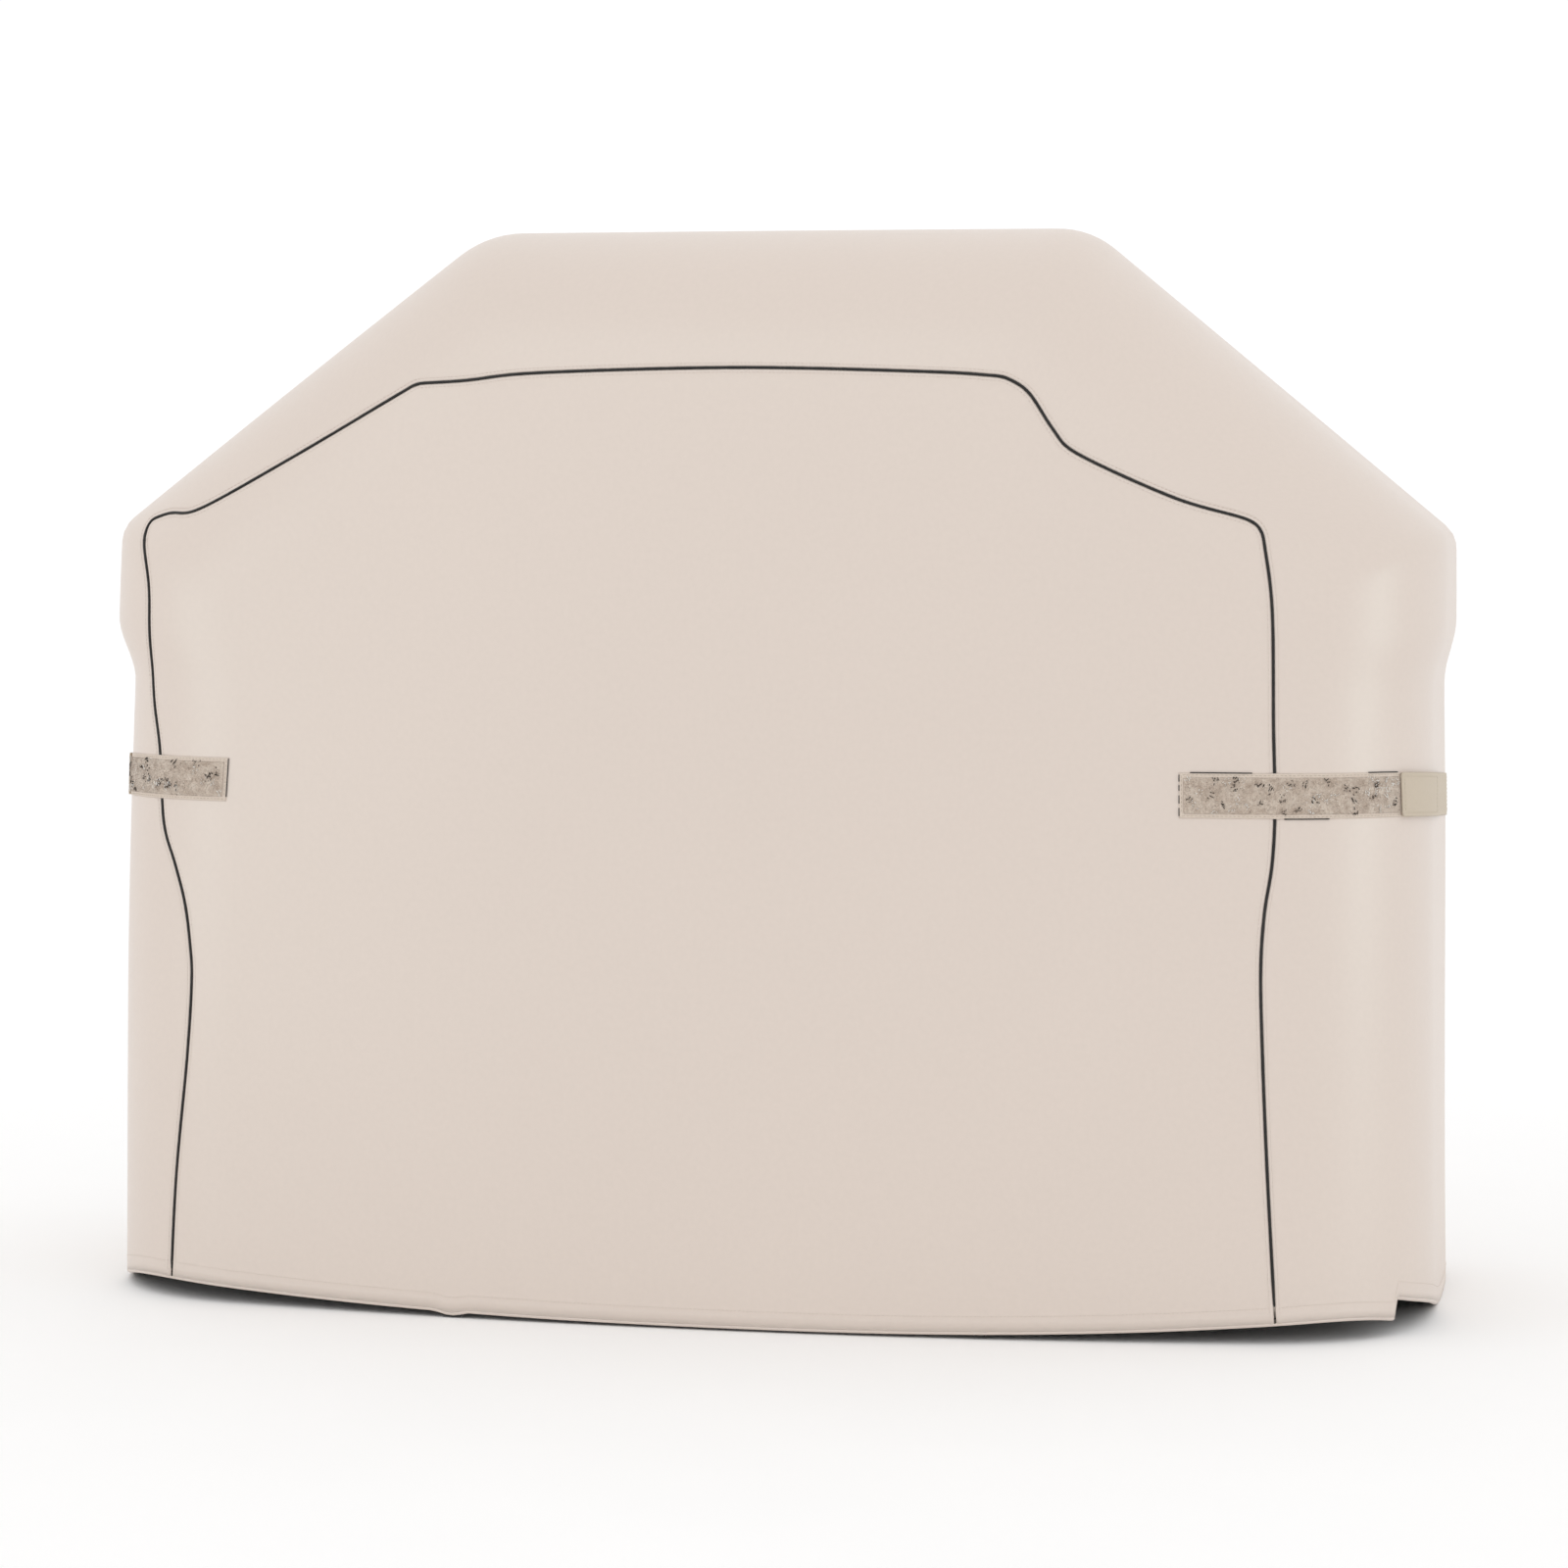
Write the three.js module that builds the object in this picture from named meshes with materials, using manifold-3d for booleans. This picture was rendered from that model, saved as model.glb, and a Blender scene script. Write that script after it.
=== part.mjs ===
// A fitted fabric cover for a barbecue grill, standing on its hem as it does over the grill.
// Millimetres, +Z up, the front facing -Y. The origin is under the middle of the cover, on the floor.
import * as THREE from "three";
import { mergeVertices } from "three/addons/utils/BufferGeometryUtils.js";
import Module from "manifold-3d";

const wasm = await Module();
wasm.setup();

// ---- driving dimensions ----
const HEIGHT = 1168; // floor to the flat top
const HALF_WIDTH = 740; // middle to the side, at the shoulder
const HALF_DEPTH = 305; // middle to the front centre of the hem, and to the rear wall
const SHOULDER = { left: 845, right: 835 }; // height where the side turns into the slope
const TOP_HALF_WIDTH = { left: 325, right: 346 }; // middle to the end of the flat top
const TOP_FRONT = 170; // middle to the front edge of the flat top
const TOP_REAR = 200; // middle to the rear edge of the flat top
const FRONT_BEND = 850; // height where the front wall starts to lean back
const REAR_BEND = 880; // the same on the rear wall
const BOW = 75; // how far the front centre stands out past its corners, at the hem
const BOW_AT_BEND = 0.5; // share of the bow left at BOW_TOP and over it
const BOW_TOP = 846;

// The side is widest in a band under the shoulder, pulls in under it and widens again to the hem.
const BAND_FOOT = 742;
const BAND_FADE = 70;
const PULL_IN = { left: 22, right: 13 };
const FLARE = 10;
const FLARE_FROM = 650;

// Blend widths where two faces meet: a wider blend is a rounder bend.
const CORNER_BLEND = 175;
const SHOULDER_BLEND = 12;
const TOP_BLEND = 22;
const BEND_BLEND = 160;
const MID_BLEND = 30;

// Hem: it is level at the rear, and lifts towards both front corners.
const HEM_LOW_X = 60; // where the front hem is lowest
const HEM_FRONT = 2; // height of the front hem at its lowest
const HEM_RISE = { left: 28, right: 31 }; // its further lift, were it to reach the side
const HEM_CURVE = { left: 2.6, right: 2.36 }; // power of the lift with the distance
const HEM_FADE = [-270, -90]; // the lift fades to nothing between these depths
const HEM_STEP_X = 703; // the hem steps up past this line, at the right front corner
const HEM_STEP = 23;
const HEM_STEP_RUN = 4;
const HEM_STEP_FADE = [-130, 20];

const CLOTH = 1.2; // thickness of the coated cloth
const GAP = 0.4; // air between touching pieces
const SEAM_HALF_GAP = 2; // each panel stops this far from the seam line
const PIPING_HALF = 1.5;
const PIPING_PROUD = 0.8;
const TAPE_HALF = 12; // the waterproof tape reaches this far each side of the seam
const TAPE_THICK = 0.5;
const TAPE_HEM_GAP = 4; // the tape stops this far above the folded hem

const HEM_HEIGHT = 22; // the folded hem, a channel for the elastic cord
const HEM_CHANNEL = 7;
const HEM_LIFT = 1.6; // the panels end this far above the underside of the hem
const CORD_RADIUS = 1;
const CORD_DEPTH = 3.4;
const CORD_HEIGHT = 8;
const CORD_SIDES = 6;
const LOOP_STEPS = [-1, -0.7, -0.35, 0, 0.35, 0.7, 1]; // where a loop of cord is drawn
const SLOT_SPARE = 8; // the slot in the hem is this much longer than the loop
const SLOT_TALL = 8;
const SLOT_INTO_HEM = 2; // how far the slot's middle is below the underside of the hem
const CORD_LOOPS = [
  // where the elastic cord shows below the front hem: middle, half width, and how far below
  { x: -295, half: 18, sag: 5.2 },
  { x: 283, half: 8, sag: 1.8 },
];

// Closing straps, one on each side, at the same height.
const STRAP_Z = 571;
const STRAP_DIP = 0.076; // slope down to the rear, behind the front corner
const STRAP_DIP_FROM = -180;
const STRAP_DIP_EASE = 40; // the slope sets in over about this depth
const STRAP_HALF = 23.5;
const STRAP_LIFT = 1.5; // the patch crosses over the seam piping, clear of it
const BACKING_THICK = 1.2;
const PILE_THICK = 1.8;
const PILE_MARGIN = 4.5; // border of backing that shows round the loop tape
const STRAP_THICK = 1.6;
const HOOK_THICK = 1.2;
const PATCH_FRONT_X = { left: -558, right: 480 }; // free end of the patch, on the front
const PATCH_REAR_Y = -20; // where the patch ends, under the strap
const STRAP_TIP_X = 700; // the strap ends here, at the front corner
const STRAP_ROOT_Y = 150; // the strap is sewn down behind this line
const ROOT_LENGTH = 60;
const HOOK_LENGTH = 120;
const BELT_CELL = 22; // length of one facet along a strap
const BELT_SWEEP_X = 430; // the strap's line is thrown out from here, inside each side
const BELT_RAYS = 240;
const STRAP_TRIM = 0.05; // share of its last facet by which the strap stops short of its root

// Search for a place on the surface.
const REACH = 1600; // longer than any ray from inside to the surface
const HALVINGS = 40;
const NORMAL_STEP = 0.5;
const STRIP_DEPTH = 450; // the side strip's lines are thrown out from this deep inside

// ---- the shape of the cover as one smooth surface ----
// Each face is a distance, positive outside. Faces join by a smooth maximum.
function smoothMax(a, b, blend) {
  const h = Math.max(blend - Math.abs(a - b), 0) / blend;
  return Math.max(a, b) + (h * h * blend) / 4;
}

function fade(value, from, to) {
  const t = Math.min(Math.max((value - from) / (to - from), 0), 1);
  return t * t * (3 - 2 * t);
}

const sideOf = (x) => (x < 0 ? "left" : "right");

function halfWidth(x, z) {
  const pull = PULL_IN[sideOf(x)] * fade(BAND_FOOT - z, 0, BAND_FADE);
  const flare = FLARE * Math.min(Math.max(1 - z / FLARE_FROM, 0), 1);
  return HALF_WIDTH - pull + flare;
}

// Distance to a plane that leans in from one edge to another, seen from the end.
function leaning(out, up, edgeOut, edgeUp, topOut) {
  const run = edgeOut - topOut;
  const rise = HEIGHT - edgeUp;
  return (rise * (out - edgeOut) + run * (up - edgeUp)) / Math.hypot(run, rise);
}

function frontBow(x, z) {
  const u = Math.min(Math.abs(x) / HALF_WIDTH, 1);
  const share = 1 - BOW_AT_BEND * fade(z, 0, BOW_TOP);
  return HALF_DEPTH - BOW + BOW * (1 - u * u) * share;
}

function skin(x, y, z) {
  const ax = Math.abs(x);
  const name = sideOf(x);
  const side = ax - halfWidth(x, z);
  const slope = leaning(ax, z, HALF_WIDTH, SHOULDER[name], TOP_HALF_WIDTH[name]);
  const ends = smoothMax(smoothMax(side, slope, SHOULDER_BLEND), z - HEIGHT, TOP_BLEND);
  const front = -y - frontBow(x, z);
  const bend = frontBow(x, BOW_TOP);
  const frontRun = HALF_DEPTH - BOW * BOW_AT_BEND - TOP_FRONT;
  const frontRise = HEIGHT - FRONT_BEND;
  const frontLean =
    (frontRise * (-y - bend) + frontRun * (z - FRONT_BEND)) / Math.hypot(frontRun, frontRise);
  const rearLean = leaning(y, z, HALF_DEPTH, REAR_BEND, TOP_REAR);
  const faces = smoothMax(
    smoothMax(front, frontLean, BEND_BLEND),
    smoothMax(y - HALF_DEPTH, rearLean, BEND_BLEND),
    MID_BLEND,
  );
  return smoothMax(ends, faces, CORNER_BLEND);
}

// The point of the surface on the ray from an inner point through another.
function onSkin(from, through) {
  const ray = through.clone().sub(from).normalize();
  const p = new THREE.Vector3();
  let near = 0;
  let far = REACH;
  for (let i = 0; i < HALVINGS; i++) {
    const mid = (near + far) / 2;
    p.copy(from).addScaledVector(ray, mid);
    if (skin(p.x, p.y, p.z) < 0) near = mid;
    else far = mid;
  }
  return p;
}

function normalAt(p) {
  const e = NORMAL_STEP;
  return new THREE.Vector3(
    skin(p.x + e, p.y, p.z) - skin(p.x - e, p.y, p.z),
    skin(p.x, p.y + e, p.z) - skin(p.x, p.y - e, p.z),
    skin(p.x, p.y, p.z + e) - skin(p.x, p.y, p.z - e),
  ).normalize();
}

// A point of the front (side -1) or rear (side 1) surface at x and z.
function facePoint(x, z, side) {
  return onSkin(new THREE.Vector3(x, 0, z), new THREE.Vector3(x, side, z));
}

function hemHeight(x, y) {
  const name = x < HEM_LOW_X ? "left" : "right";
  const span = HALF_WIDTH + (name === "left" ? HEM_LOW_X : -HEM_LOW_X);
  const rise = HEM_RISE[name] * (Math.abs(x - HEM_LOW_X) / span) ** HEM_CURVE[name];
  const step = HEM_STEP * fade(x, HEM_STEP_X, HEM_STEP_X + HEM_STEP_RUN);
  return (HEM_FRONT + rise) * (1 - fade(y, ...HEM_FADE)) + step * (1 - fade(y, ...HEM_STEP_FADE));
}

// ---- seam lines, as points [x, z] on the front and rear faces ----
const FRONT_LEFT = [
  [-629, 0], [-620, 134], [-605, 265], [-599, 351], [-602, 394], [-609, 436],
  [-623, 478], [-639, 520], [-647, 600], [-660, 668], [-665, 776], [-680, 832], [-678, 850],
];
const FRONT_LEFT_SLOPE = [
  [-678, 850], [-650, 858], [-609, 863], [-498, 920], [-386, 983], [-358, 999],
];
const FRONT_TOP = [
  [-358, 999], [-301, 1002], [-219, 1010], [0, 1015], [208, 1010], [286, 1005],
];
const FRONT_RIGHT_SLOPE = [
  [560, 842], [544, 856], [469, 878], [366, 924], [340, 949], [312, 989], [286, 1005],
];
const FRONT_RIGHT = [
  [587, 0], [581, 95], [575, 197], [570, 300], [567, 390], [570, 450],
  [577, 500], [579, 560], [576, 640], [572, 765], [560, 842],
];
const REAR_SIDE = [[640, 0], [650, 300], [656, 600], [664, 800], [656, 862]];
const REAR_SLOPE = [[656, 862], [560, 925], [400, 1050], [330, 1086]];
const REAR_TOP = [[-330, 1086], [0, 1092], [330, 1086]];

// How many cells each stretch of seam is divided into.
const SIDE_CELLS = 11;
const SLOPE_CELLS = 6;
const TOP_CELLS = 14;
const STRIP_CELLS = 9; // across the side strip, from front seam to rear seam

const mirrored = (points) => points.map(([x, z]) => [-x, z]);

function seamCurve(points) {
  return new THREE.SplineCurve(points.map(([x, z]) => new THREE.Vector2(x, z)));
}

const sample = (points, cells) => seamCurve(points).getSpacedPoints(cells);

// The top seam's stations crowd towards its ends, where the columns of the panels below start.
const crowded = (i) => (1 - Math.cos((Math.PI * i) / TOP_CELLS)) / 2;

function sampleTop(points) {
  const curve = seamCurve(points);
  return Array.from({ length: TOP_CELLS + 1 }, (_, i) => curve.getPointAt(crowded(i)));
}

// A seam from the left hem over the top to the right hem, each station once.
function seamLine([left, leftSlope, top, rightSlope, right]) {
  return [
    ...sample(left, SIDE_CELLS),
    ...sample(leftSlope, SLOPE_CELLS).slice(1),
    ...sampleTop(top).slice(1),
    ...sample(rightSlope, SLOPE_CELLS).reverse().slice(1),
    ...sample(right, SIDE_CELLS).reverse().slice(1),
  ];
}

const SEAMS = {
  front: {
    side: -1,
    line: seamLine([FRONT_LEFT, FRONT_LEFT_SLOPE, FRONT_TOP, FRONT_RIGHT_SLOPE, FRONT_RIGHT]),
  },
  rear: {
    side: 1,
    line: seamLine([mirrored(REAR_SIDE), mirrored(REAR_SLOPE), REAR_TOP, REAR_SLOPE, REAR_SIDE]),
  },
};
const LAST = SEAMS.front.line.length - 1;

// The seam moved sideways in its face: positive distances go in, towards the panel's middle.
// The two ends stay on the hem, lifted by rise.
function seamPoints({ side, line }, inward, rise = HEM_LIFT) {
  return line.map((p, i) => {
    const before = line[Math.max(i - 1, 0)];
    const after = line[Math.min(i + 1, LAST)];
    const along = after.clone().sub(before).normalize();
    const x = p.x + along.y * inward;
    if (i > 0 && i < LAST) return facePoint(x, p.y - along.x * inward, side);
    const y = facePoint(x, 0, side).y;
    return facePoint(x, hemHeight(x, y) + rise, side);
  });
}

// ---- surfaces, and closed solids made from them ----
// A grid of points as triangles, each cell split along its shorter diagonal.
function gridFaces(rows) {
  const faces = [];
  const points = rows.flat();
  const width = rows[0].length;
  for (let j = 0; j + 1 < rows.length; j++)
    for (let i = 0; i + 1 < width; i++) {
      const a = j * width + i;
      const [b, c, d] = [a + 1, a + width + 1, a + width];
      const split = points[a].distanceTo(points[c]) < points[b].distanceTo(points[d]);
      if (split) faces.push([a, b, c], [a, c, d]);
      else faces.push([a, b, d], [b, c, d]);
    }
  return { points, faces };
}

// One surface from several that share points: equal points are joined.
function joined(surfaces) {
  const points = [];
  const faces = [];
  const found = new Map();
  for (const s of surfaces) {
    const index = s.points.map((p) => {
      const key = p.toArray().map((v) => v.toFixed(3)).join();
      if (!found.has(key)) found.set(key, points.push(p) - 1);
      return found.get(key);
    });
    faces.push(...s.faces.map((f) => f.map((i) => index[i])));
  }
  return { points, faces };
}

// A closed shell between two depths under the surface; a negative depth is outside it.
function shell({ points, faces }, outerDepth, innerDepth) {
  const normals = points.map(normalAt);
  const layer = (depth) => points.map((p, i) => p.clone().addScaledVector(normals[i], -depth));
  const all = [...layer(outerDepth), ...layer(innerDepth)];
  const n = points.length;
  const [a, b, c] = faces[0];
  const facing = points[b].clone().sub(points[a]).cross(points[c].clone().sub(points[a]));
  const outward = facing.dot(normals[a]) > 0 ? faces : faces.map(([p, q, r]) => [p, r, q]);
  const edges = new Set(outward.flatMap(([p, q, r]) => [`${p},${q}`, `${q},${r}`, `${r},${p}`]));
  const triangles = [...outward, ...outward.map(([p, q, r]) => [p + n, r + n, q + n])];
  for (const edge of edges) {
    const [p, q] = edge.split(",").map(Number);
    if (!edges.has(`${q},${p}`)) triangles.push([q, p, p + n], [q, p + n, q + n]);
  }
  return geometryOf(all, triangles);
}

// Sections joined one to the next: an open run with its two ends capped, or a closed ring.
function sweep(sections, closed) {
  const count = sections[0].length;
  const triangles = [];
  const steps = closed ? sections.length : sections.length - 1;
  for (let s = 0; s < steps; s++)
    for (let k = 0; k < count; k++) {
      const a = s * count + k;
      const b = s * count + ((k + 1) % count);
      const shift = (((s + 1) % sections.length) - s) * count;
      triangles.push([a, b, b + shift], [a, b + shift, a + shift]);
    }
  if (!closed) {
    const end = (sections.length - 1) * count;
    for (let k = 1; k + 1 < count; k++)
      triangles.push([0, k + 1, k], [end, end + k, end + k + 1]);
  }
  return facingOut(geometryOf(sections.flat(), triangles));
}

function geometryOf(points, triangles) {
  const g = new THREE.BufferGeometry().setFromPoints(points);
  g.setIndex(triangles.flat());
  return g;
}

function facingOut(g) {
  const p = g.getAttribute("position");
  const v = [0, 1, 2].map(() => new THREE.Vector3());
  let volume = 0;
  for (let i = 0; i < g.index.count; i += 3) {
    v.forEach((c, k) => c.fromBufferAttribute(p, g.index.getX(i + k)));
    volume += v[0].dot(v[1].clone().cross(v[2]));
  }
  if (volume < 0) {
    const flipped = [];
    for (let i = 0; i < g.index.count; i += 3)
      flipped.push(g.index.getX(i), g.index.getX(i + 2), g.index.getX(i + 1));
    g.setIndex(flipped);
  }
  return g;
}

function cut(geometry, cutters) {
  const solid = (g) => {
    const bare = new THREE.BufferGeometry()
      .setAttribute("position", g.getAttribute("position"))
      .setIndex(g.index);
    const merged = mergeVertices(bare, 1e-4);
    return new wasm.Manifold(
      new wasm.Mesh({
        numProp: 3,
        vertProperties: merged.getAttribute("position").array,
        triVerts: new Uint32Array(merged.index.array),
      }),
    );
  };
  const made = cutters.reduce((left, cutter) => left.subtract(solid(cutter)), solid(geometry));
  const mesh = made.getMesh();
  const g = new THREE.BufferGeometry();
  g.setAttribute("position", new THREE.BufferAttribute(mesh.vertProperties, 3));
  g.setIndex(new THREE.BufferAttribute(mesh.triVerts, 1));
  return g;
}

// ---- the three cloth panels ----
// A front or rear panel: a grid inside the taped margin, and the margin itself up to the seam.
function panelSurface(seam) {
  const edge = seamPoints(seam, SEAM_HALF_GAP);
  const ring = seamPoints(seam, TAPE_HALF);
  const rise = SIDE_CELLS + SLOPE_CELLS;
  const flat = ring.map((p) => new THREE.Vector2(p.x, p.z));
  const left = flat.slice(0, rise + 1);
  const top = flat.slice(rise, rise + TOP_CELLS + 1);
  const right = flat.slice(rise + TOP_CELLS).reverse();
  const bottom = top.map((_, i) => {
    const x = THREE.MathUtils.lerp(left[0].x, right[0].x, crowded(i));
    const y = facePoint(x, 0, seam.side).y;
    return new THREE.Vector2(x, hemHeight(x, y) + HEM_LIFT);
  });
  // The grid blends its four sides evenly.
  const rows = left.map((_, j) => {
    const v = j / rise;
    return top.map((_, i) => {
      const u = crowded(i);
      const at = (axis) =>
        (1 - v) * bottom[i][axis] + v * top[i][axis] + (1 - u) * left[j][axis] + u * right[j][axis] -
        (1 - u) * (1 - v) * left[0][axis] - u * (1 - v) * right[0][axis] -
        (1 - u) * v * top[0][axis] - u * v * top[TOP_CELLS][axis];
      return facePoint(at("x"), at("y"), seam.side);
    });
  });
  const rim = [
    ...rows.map((row) => row[0]),
    ...rows[rise].slice(1),
    ...rows.map((row) => row[TOP_CELLS]).reverse().slice(1),
  ];
  return { surface: joined([gridFaces(rows), gridFaces([rim, edge])]), rows, edge, rim };
}

// The strip that makes both sides, both shoulders and the top, between the two seams.
function stripSurface() {
  const columns = [-SEAM_HALF_GAP, -TAPE_HALF];
  const front = columns.map((d) => seamPoints(SEAMS.front, d));
  const rear = columns.map((d) => seamPoints(SEAMS.rear, d));
  return front[0].map((_, i) => {
    const a = front[1][i];
    const b = rear[1][i];
    const inner = [];
    // The strip's lines run square across it, so they are thrown out from a point deep inside.
    const middle = a.clone().add(b).multiplyScalar(0.5);
    const outline = outlinePoint(i);
    const centre = middle.clone().sub(outline).setLength(STRIP_DEPTH).add(middle);
    const level = i === 0 || i === LAST;
    for (let k = 1; k < STRIP_CELLS; k++) {
      const through = a.clone().lerp(b, k / STRIP_CELLS);
      let p = onSkin(centre, through);
      if (level) {
        const z = hemHeight(p.x, p.y) + HEM_LIFT;
        p = onSkin(new THREE.Vector3(centre.x, 0, z), new THREE.Vector3(p.x, p.y, z));
      }
      inner.push(p);
    }
    return [front[0][i], a, ...inner, b, rear[0][i]];
  });
}

// Where the middle of the strip lies at a station: up the side, along the slope, over the top.
function outlinePoint(i) {
  const side = SIDE_CELLS;
  const slope = side + SLOPE_CELLS;
  const mirror = i > LAST / 2;
  const k = mirror ? LAST - i : i;
  const sign = mirror ? 1 : -1;
  const shoulder = SHOULDER[sideOf(sign)];
  const topEnd = TOP_HALF_WIDTH[sideOf(sign)];
  if (k <= side) return new THREE.Vector3(sign * HALF_WIDTH, 0, (shoulder * k) / side);
  if (k <= slope) {
    const t = (k - side) / SLOPE_CELLS;
    return new THREE.Vector3(
      sign * THREE.MathUtils.lerp(HALF_WIDTH, topEnd, t),
      0,
      THREE.MathUtils.lerp(shoulder, HEIGHT, t),
    );
  }
  return new THREE.Vector3(sign * topEnd * (1 - 2 * crowded(k - slope)), 0, HEIGHT);
}

// ---- seams: piping outside, waterproof tape inside ----
function pipingGeometry(seam) {
  const [a, b] = [-PIPING_HALF, PIPING_HALF].map((offset) => seamPoints(seam, offset));
  const sections = a.map((p, i) => {
    const n = normalAt(p.clone().add(b[i]).multiplyScalar(0.5));
    const at = (q, depth) => q.clone().addScaledVector(n, -depth);
    const low = CLOTH / 2;
    return [at(p, low), at(b[i], low), at(b[i], -PIPING_PROUD), at(p, -PIPING_PROUD)];
  });
  return sweep(sections, false);
}

function tapeSurface(panel, strip, stripSide) {
  const end = strip[0].length - 1;
  const near = strip.map((row) => row[stripSide < 0 ? 0 : end]);
  const far = strip.map((row) => row[stripSide < 0 ? 1 : end - 1]);
  const [rim, edge, first, second] = [panel.rim, panel.edge, near, far].map((row) =>
    row.map((p, i) => {
      if (i > 0 && i < LAST) return p;
      const next = row[i === 0 ? 1 : LAST - 1];
      return p.clone().lerp(next, (HEM_HEIGHT + TAPE_HEM_GAP) / p.distanceTo(next));
    }),
  );
  return joined([
    gridFaces([rim, edge]),
    gridFaces([edge, first]),
    gridFaces([first, second]),
  ]);
}

// ---- hem ----
// The points of the hem all the way round, on the surface, at the underside of the hem.
function hemLoop(front, rear, strip) {
  const bottom = (panel) => [panel.edge[0], ...panel.rows[0], panel.edge[LAST]];
  const loop = [
    ...bottom(front),
    ...strip[LAST],
    ...bottom(rear).reverse(),
    ...strip[0].slice().reverse(),
  ];
  return loop.map((p) => {
    const z = hemHeight(p.x, p.y);
    return { at: new THREE.Vector3(p.x, p.y, z), out: normalAt(p).setZ(0).normalize() };
  });
}

// The stretch of the front hem that holds x, and the hem's own point there.
function frontHemAt(loop, x) {
  const i = loop.findIndex(({ at }, k) => at.y < 0 && at.x <= x && loop[k + 1].at.x > x);
  const [a, b] = [loop[i].at, loop[i + 1].at];
  return { index: i, out: loop[i].out, at: a.clone().lerp(b, (x - a.x) / (b.x - a.x)) };
}

function hemGeometry(loop) {
  const inner = HEM_CHANNEL - CLOTH;
  const section = [
    [0, 0], [HEM_CHANNEL, 0], [HEM_CHANNEL, HEM_HEIGHT], [CLOTH + GAP, HEM_HEIGHT],
    [CLOTH + GAP, HEM_HEIGHT - CLOTH], [inner, HEM_HEIGHT - CLOTH], [inner, CLOTH], [0, CLOTH],
  ];
  const band = sweep(
    loop.map(({ at, out }) =>
      section.map(([depth, up]) =>
        at.clone().addScaledVector(out, -depth).add(new THREE.Vector3(0, 0, up)))),
    true,
  );
  // The cord comes out through a slot in the underside at each loop.
  const slots = CORD_LOOPS.map(({ x, half }) => {
    const { at } = frontHemAt(loop, x);
    const slot = new THREE.BoxGeometry(2 * half + SLOT_SPARE, 2 * inner - 1, SLOT_TALL);
    return slot.translate(at.x, at.y, at.z - SLOT_INTO_HEM);
  });
  return cut(band, slots);
}

function cordGeometry(loop) {
  const point = ({ at, out }, drop) => ({
    at: at.clone().addScaledVector(out, -CORD_DEPTH).add(new THREE.Vector3(0, 0, CORD_HEIGHT - drop)),
    out,
  });
  const route = loop.map((station) => [point(station, 0)]);
  for (const { x, half, sag } of CORD_LOOPS) {
    const depth = CORD_HEIGHT + sag - CORD_RADIUS;
    for (const t of LOOP_STEPS) {
      const hem = frontHemAt(loop, x + t * half);
      route[hem.index].push(point(hem, depth * Math.cos((t * Math.PI) / 2)));
    }
  }
  return roundSweep(route.flat());
}

// A thin round cord through a closed ring of places.
function roundSweep(route) {
  const sections = route.map(({ at, out }, i) => {
    const before = route[(i + route.length - 1) % route.length].at;
    const after = route[(i + 1) % route.length].at;
    const along = after.clone().sub(before).normalize();
    const up = along.cross(out).normalize();
    return Array.from({ length: CORD_SIDES }, (_, k) => {
      const angle = (2 * Math.PI * k) / CORD_SIDES;
      return at.clone()
        .addScaledVector(out, CORD_RADIUS * Math.cos(angle))
        .addScaledVector(up, CORD_RADIUS * Math.sin(angle));
    });
  });
  return sweep(sections, true);
}

// ---- straps ----
// The level line of the surface at the strap's height, from the front round one side to the rear.
function beltLine(sign) {
  const line = [];
  const centre = new THREE.Vector3(sign * BELT_SWEEP_X, 0, STRAP_Z);
  for (let i = 0; i <= BELT_RAYS; i++) {
    const angle = -Math.PI / 2 + (i / BELT_RAYS) * Math.PI;
    const ray = new THREE.Vector3(sign * Math.cos(angle), Math.sin(angle), 0);
    line.push(onSkin(centre, centre.clone().add(ray)));
  }
  return line;
}

// A stretch of the belt line between two places, in cells of about the same length.
function beltStretch(sign, starts, ends) {
  const line = beltLine(sign);
  const from = line.findIndex(starts);
  const to = line.findIndex(ends);
  const curve = new THREE.CatmullRomCurve3(line.slice(from, to + 1).filter((_, i) => i % 3 === 0));
  return curve.getSpacedPoints(Math.max(2, Math.round(curve.getLength() / BELT_CELL)));
}

// Height of a strap's middle at a depth.
function strapHeight(y) {
  const behind = y - STRAP_DIP_FROM;
  return STRAP_Z - (STRAP_DIP * (behind + Math.hypot(behind, STRAP_DIP_EASE))) / 2;
}

// A strip of webbing on the belt line: two long edges, thick between two heights off the cloth.
function strapGeometry(points, half, low, high) {
  const rows = points.map((p) =>
    [-half, half].map((dz) => {
      const z = strapHeight(p.y) + dz;
      const centre = new THREE.Vector3(Math.sign(p.x) * BELT_SWEEP_X, 0, z);
      return onSkin(centre, new THREE.Vector3(p.x, p.y, z));
    }),
  );
  return shell(gridFaces(rows), -high, -low);
}

const COLOURS = {
  cloth: 0xded1c8,
  seam: 0x1d1b1a,
  tape: 0x4a4642,
  pile: 0xb8a595,
  webbing: 0xc6b9a6,
};

function meshOf(name, geometry, colour) {
  const material = new THREE.MeshStandardMaterial({ color: colour, roughness: 0.85, metalness: 0 });
  const mesh = new THREE.Mesh(geometry, material);
  mesh.name = name;
  return mesh;
}

// The strip's two ends drawn in by the border of backing that shows past the tape.
function inset(points) {
  const [first, second] = points;
  const [before, last] = points.slice(-2);
  const moved = (p, towards) => p.clone().lerp(towards, PILE_MARGIN / p.distanceTo(towards));
  return [moved(first, second), ...points.slice(1, -1), moved(last, before)];
}

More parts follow.
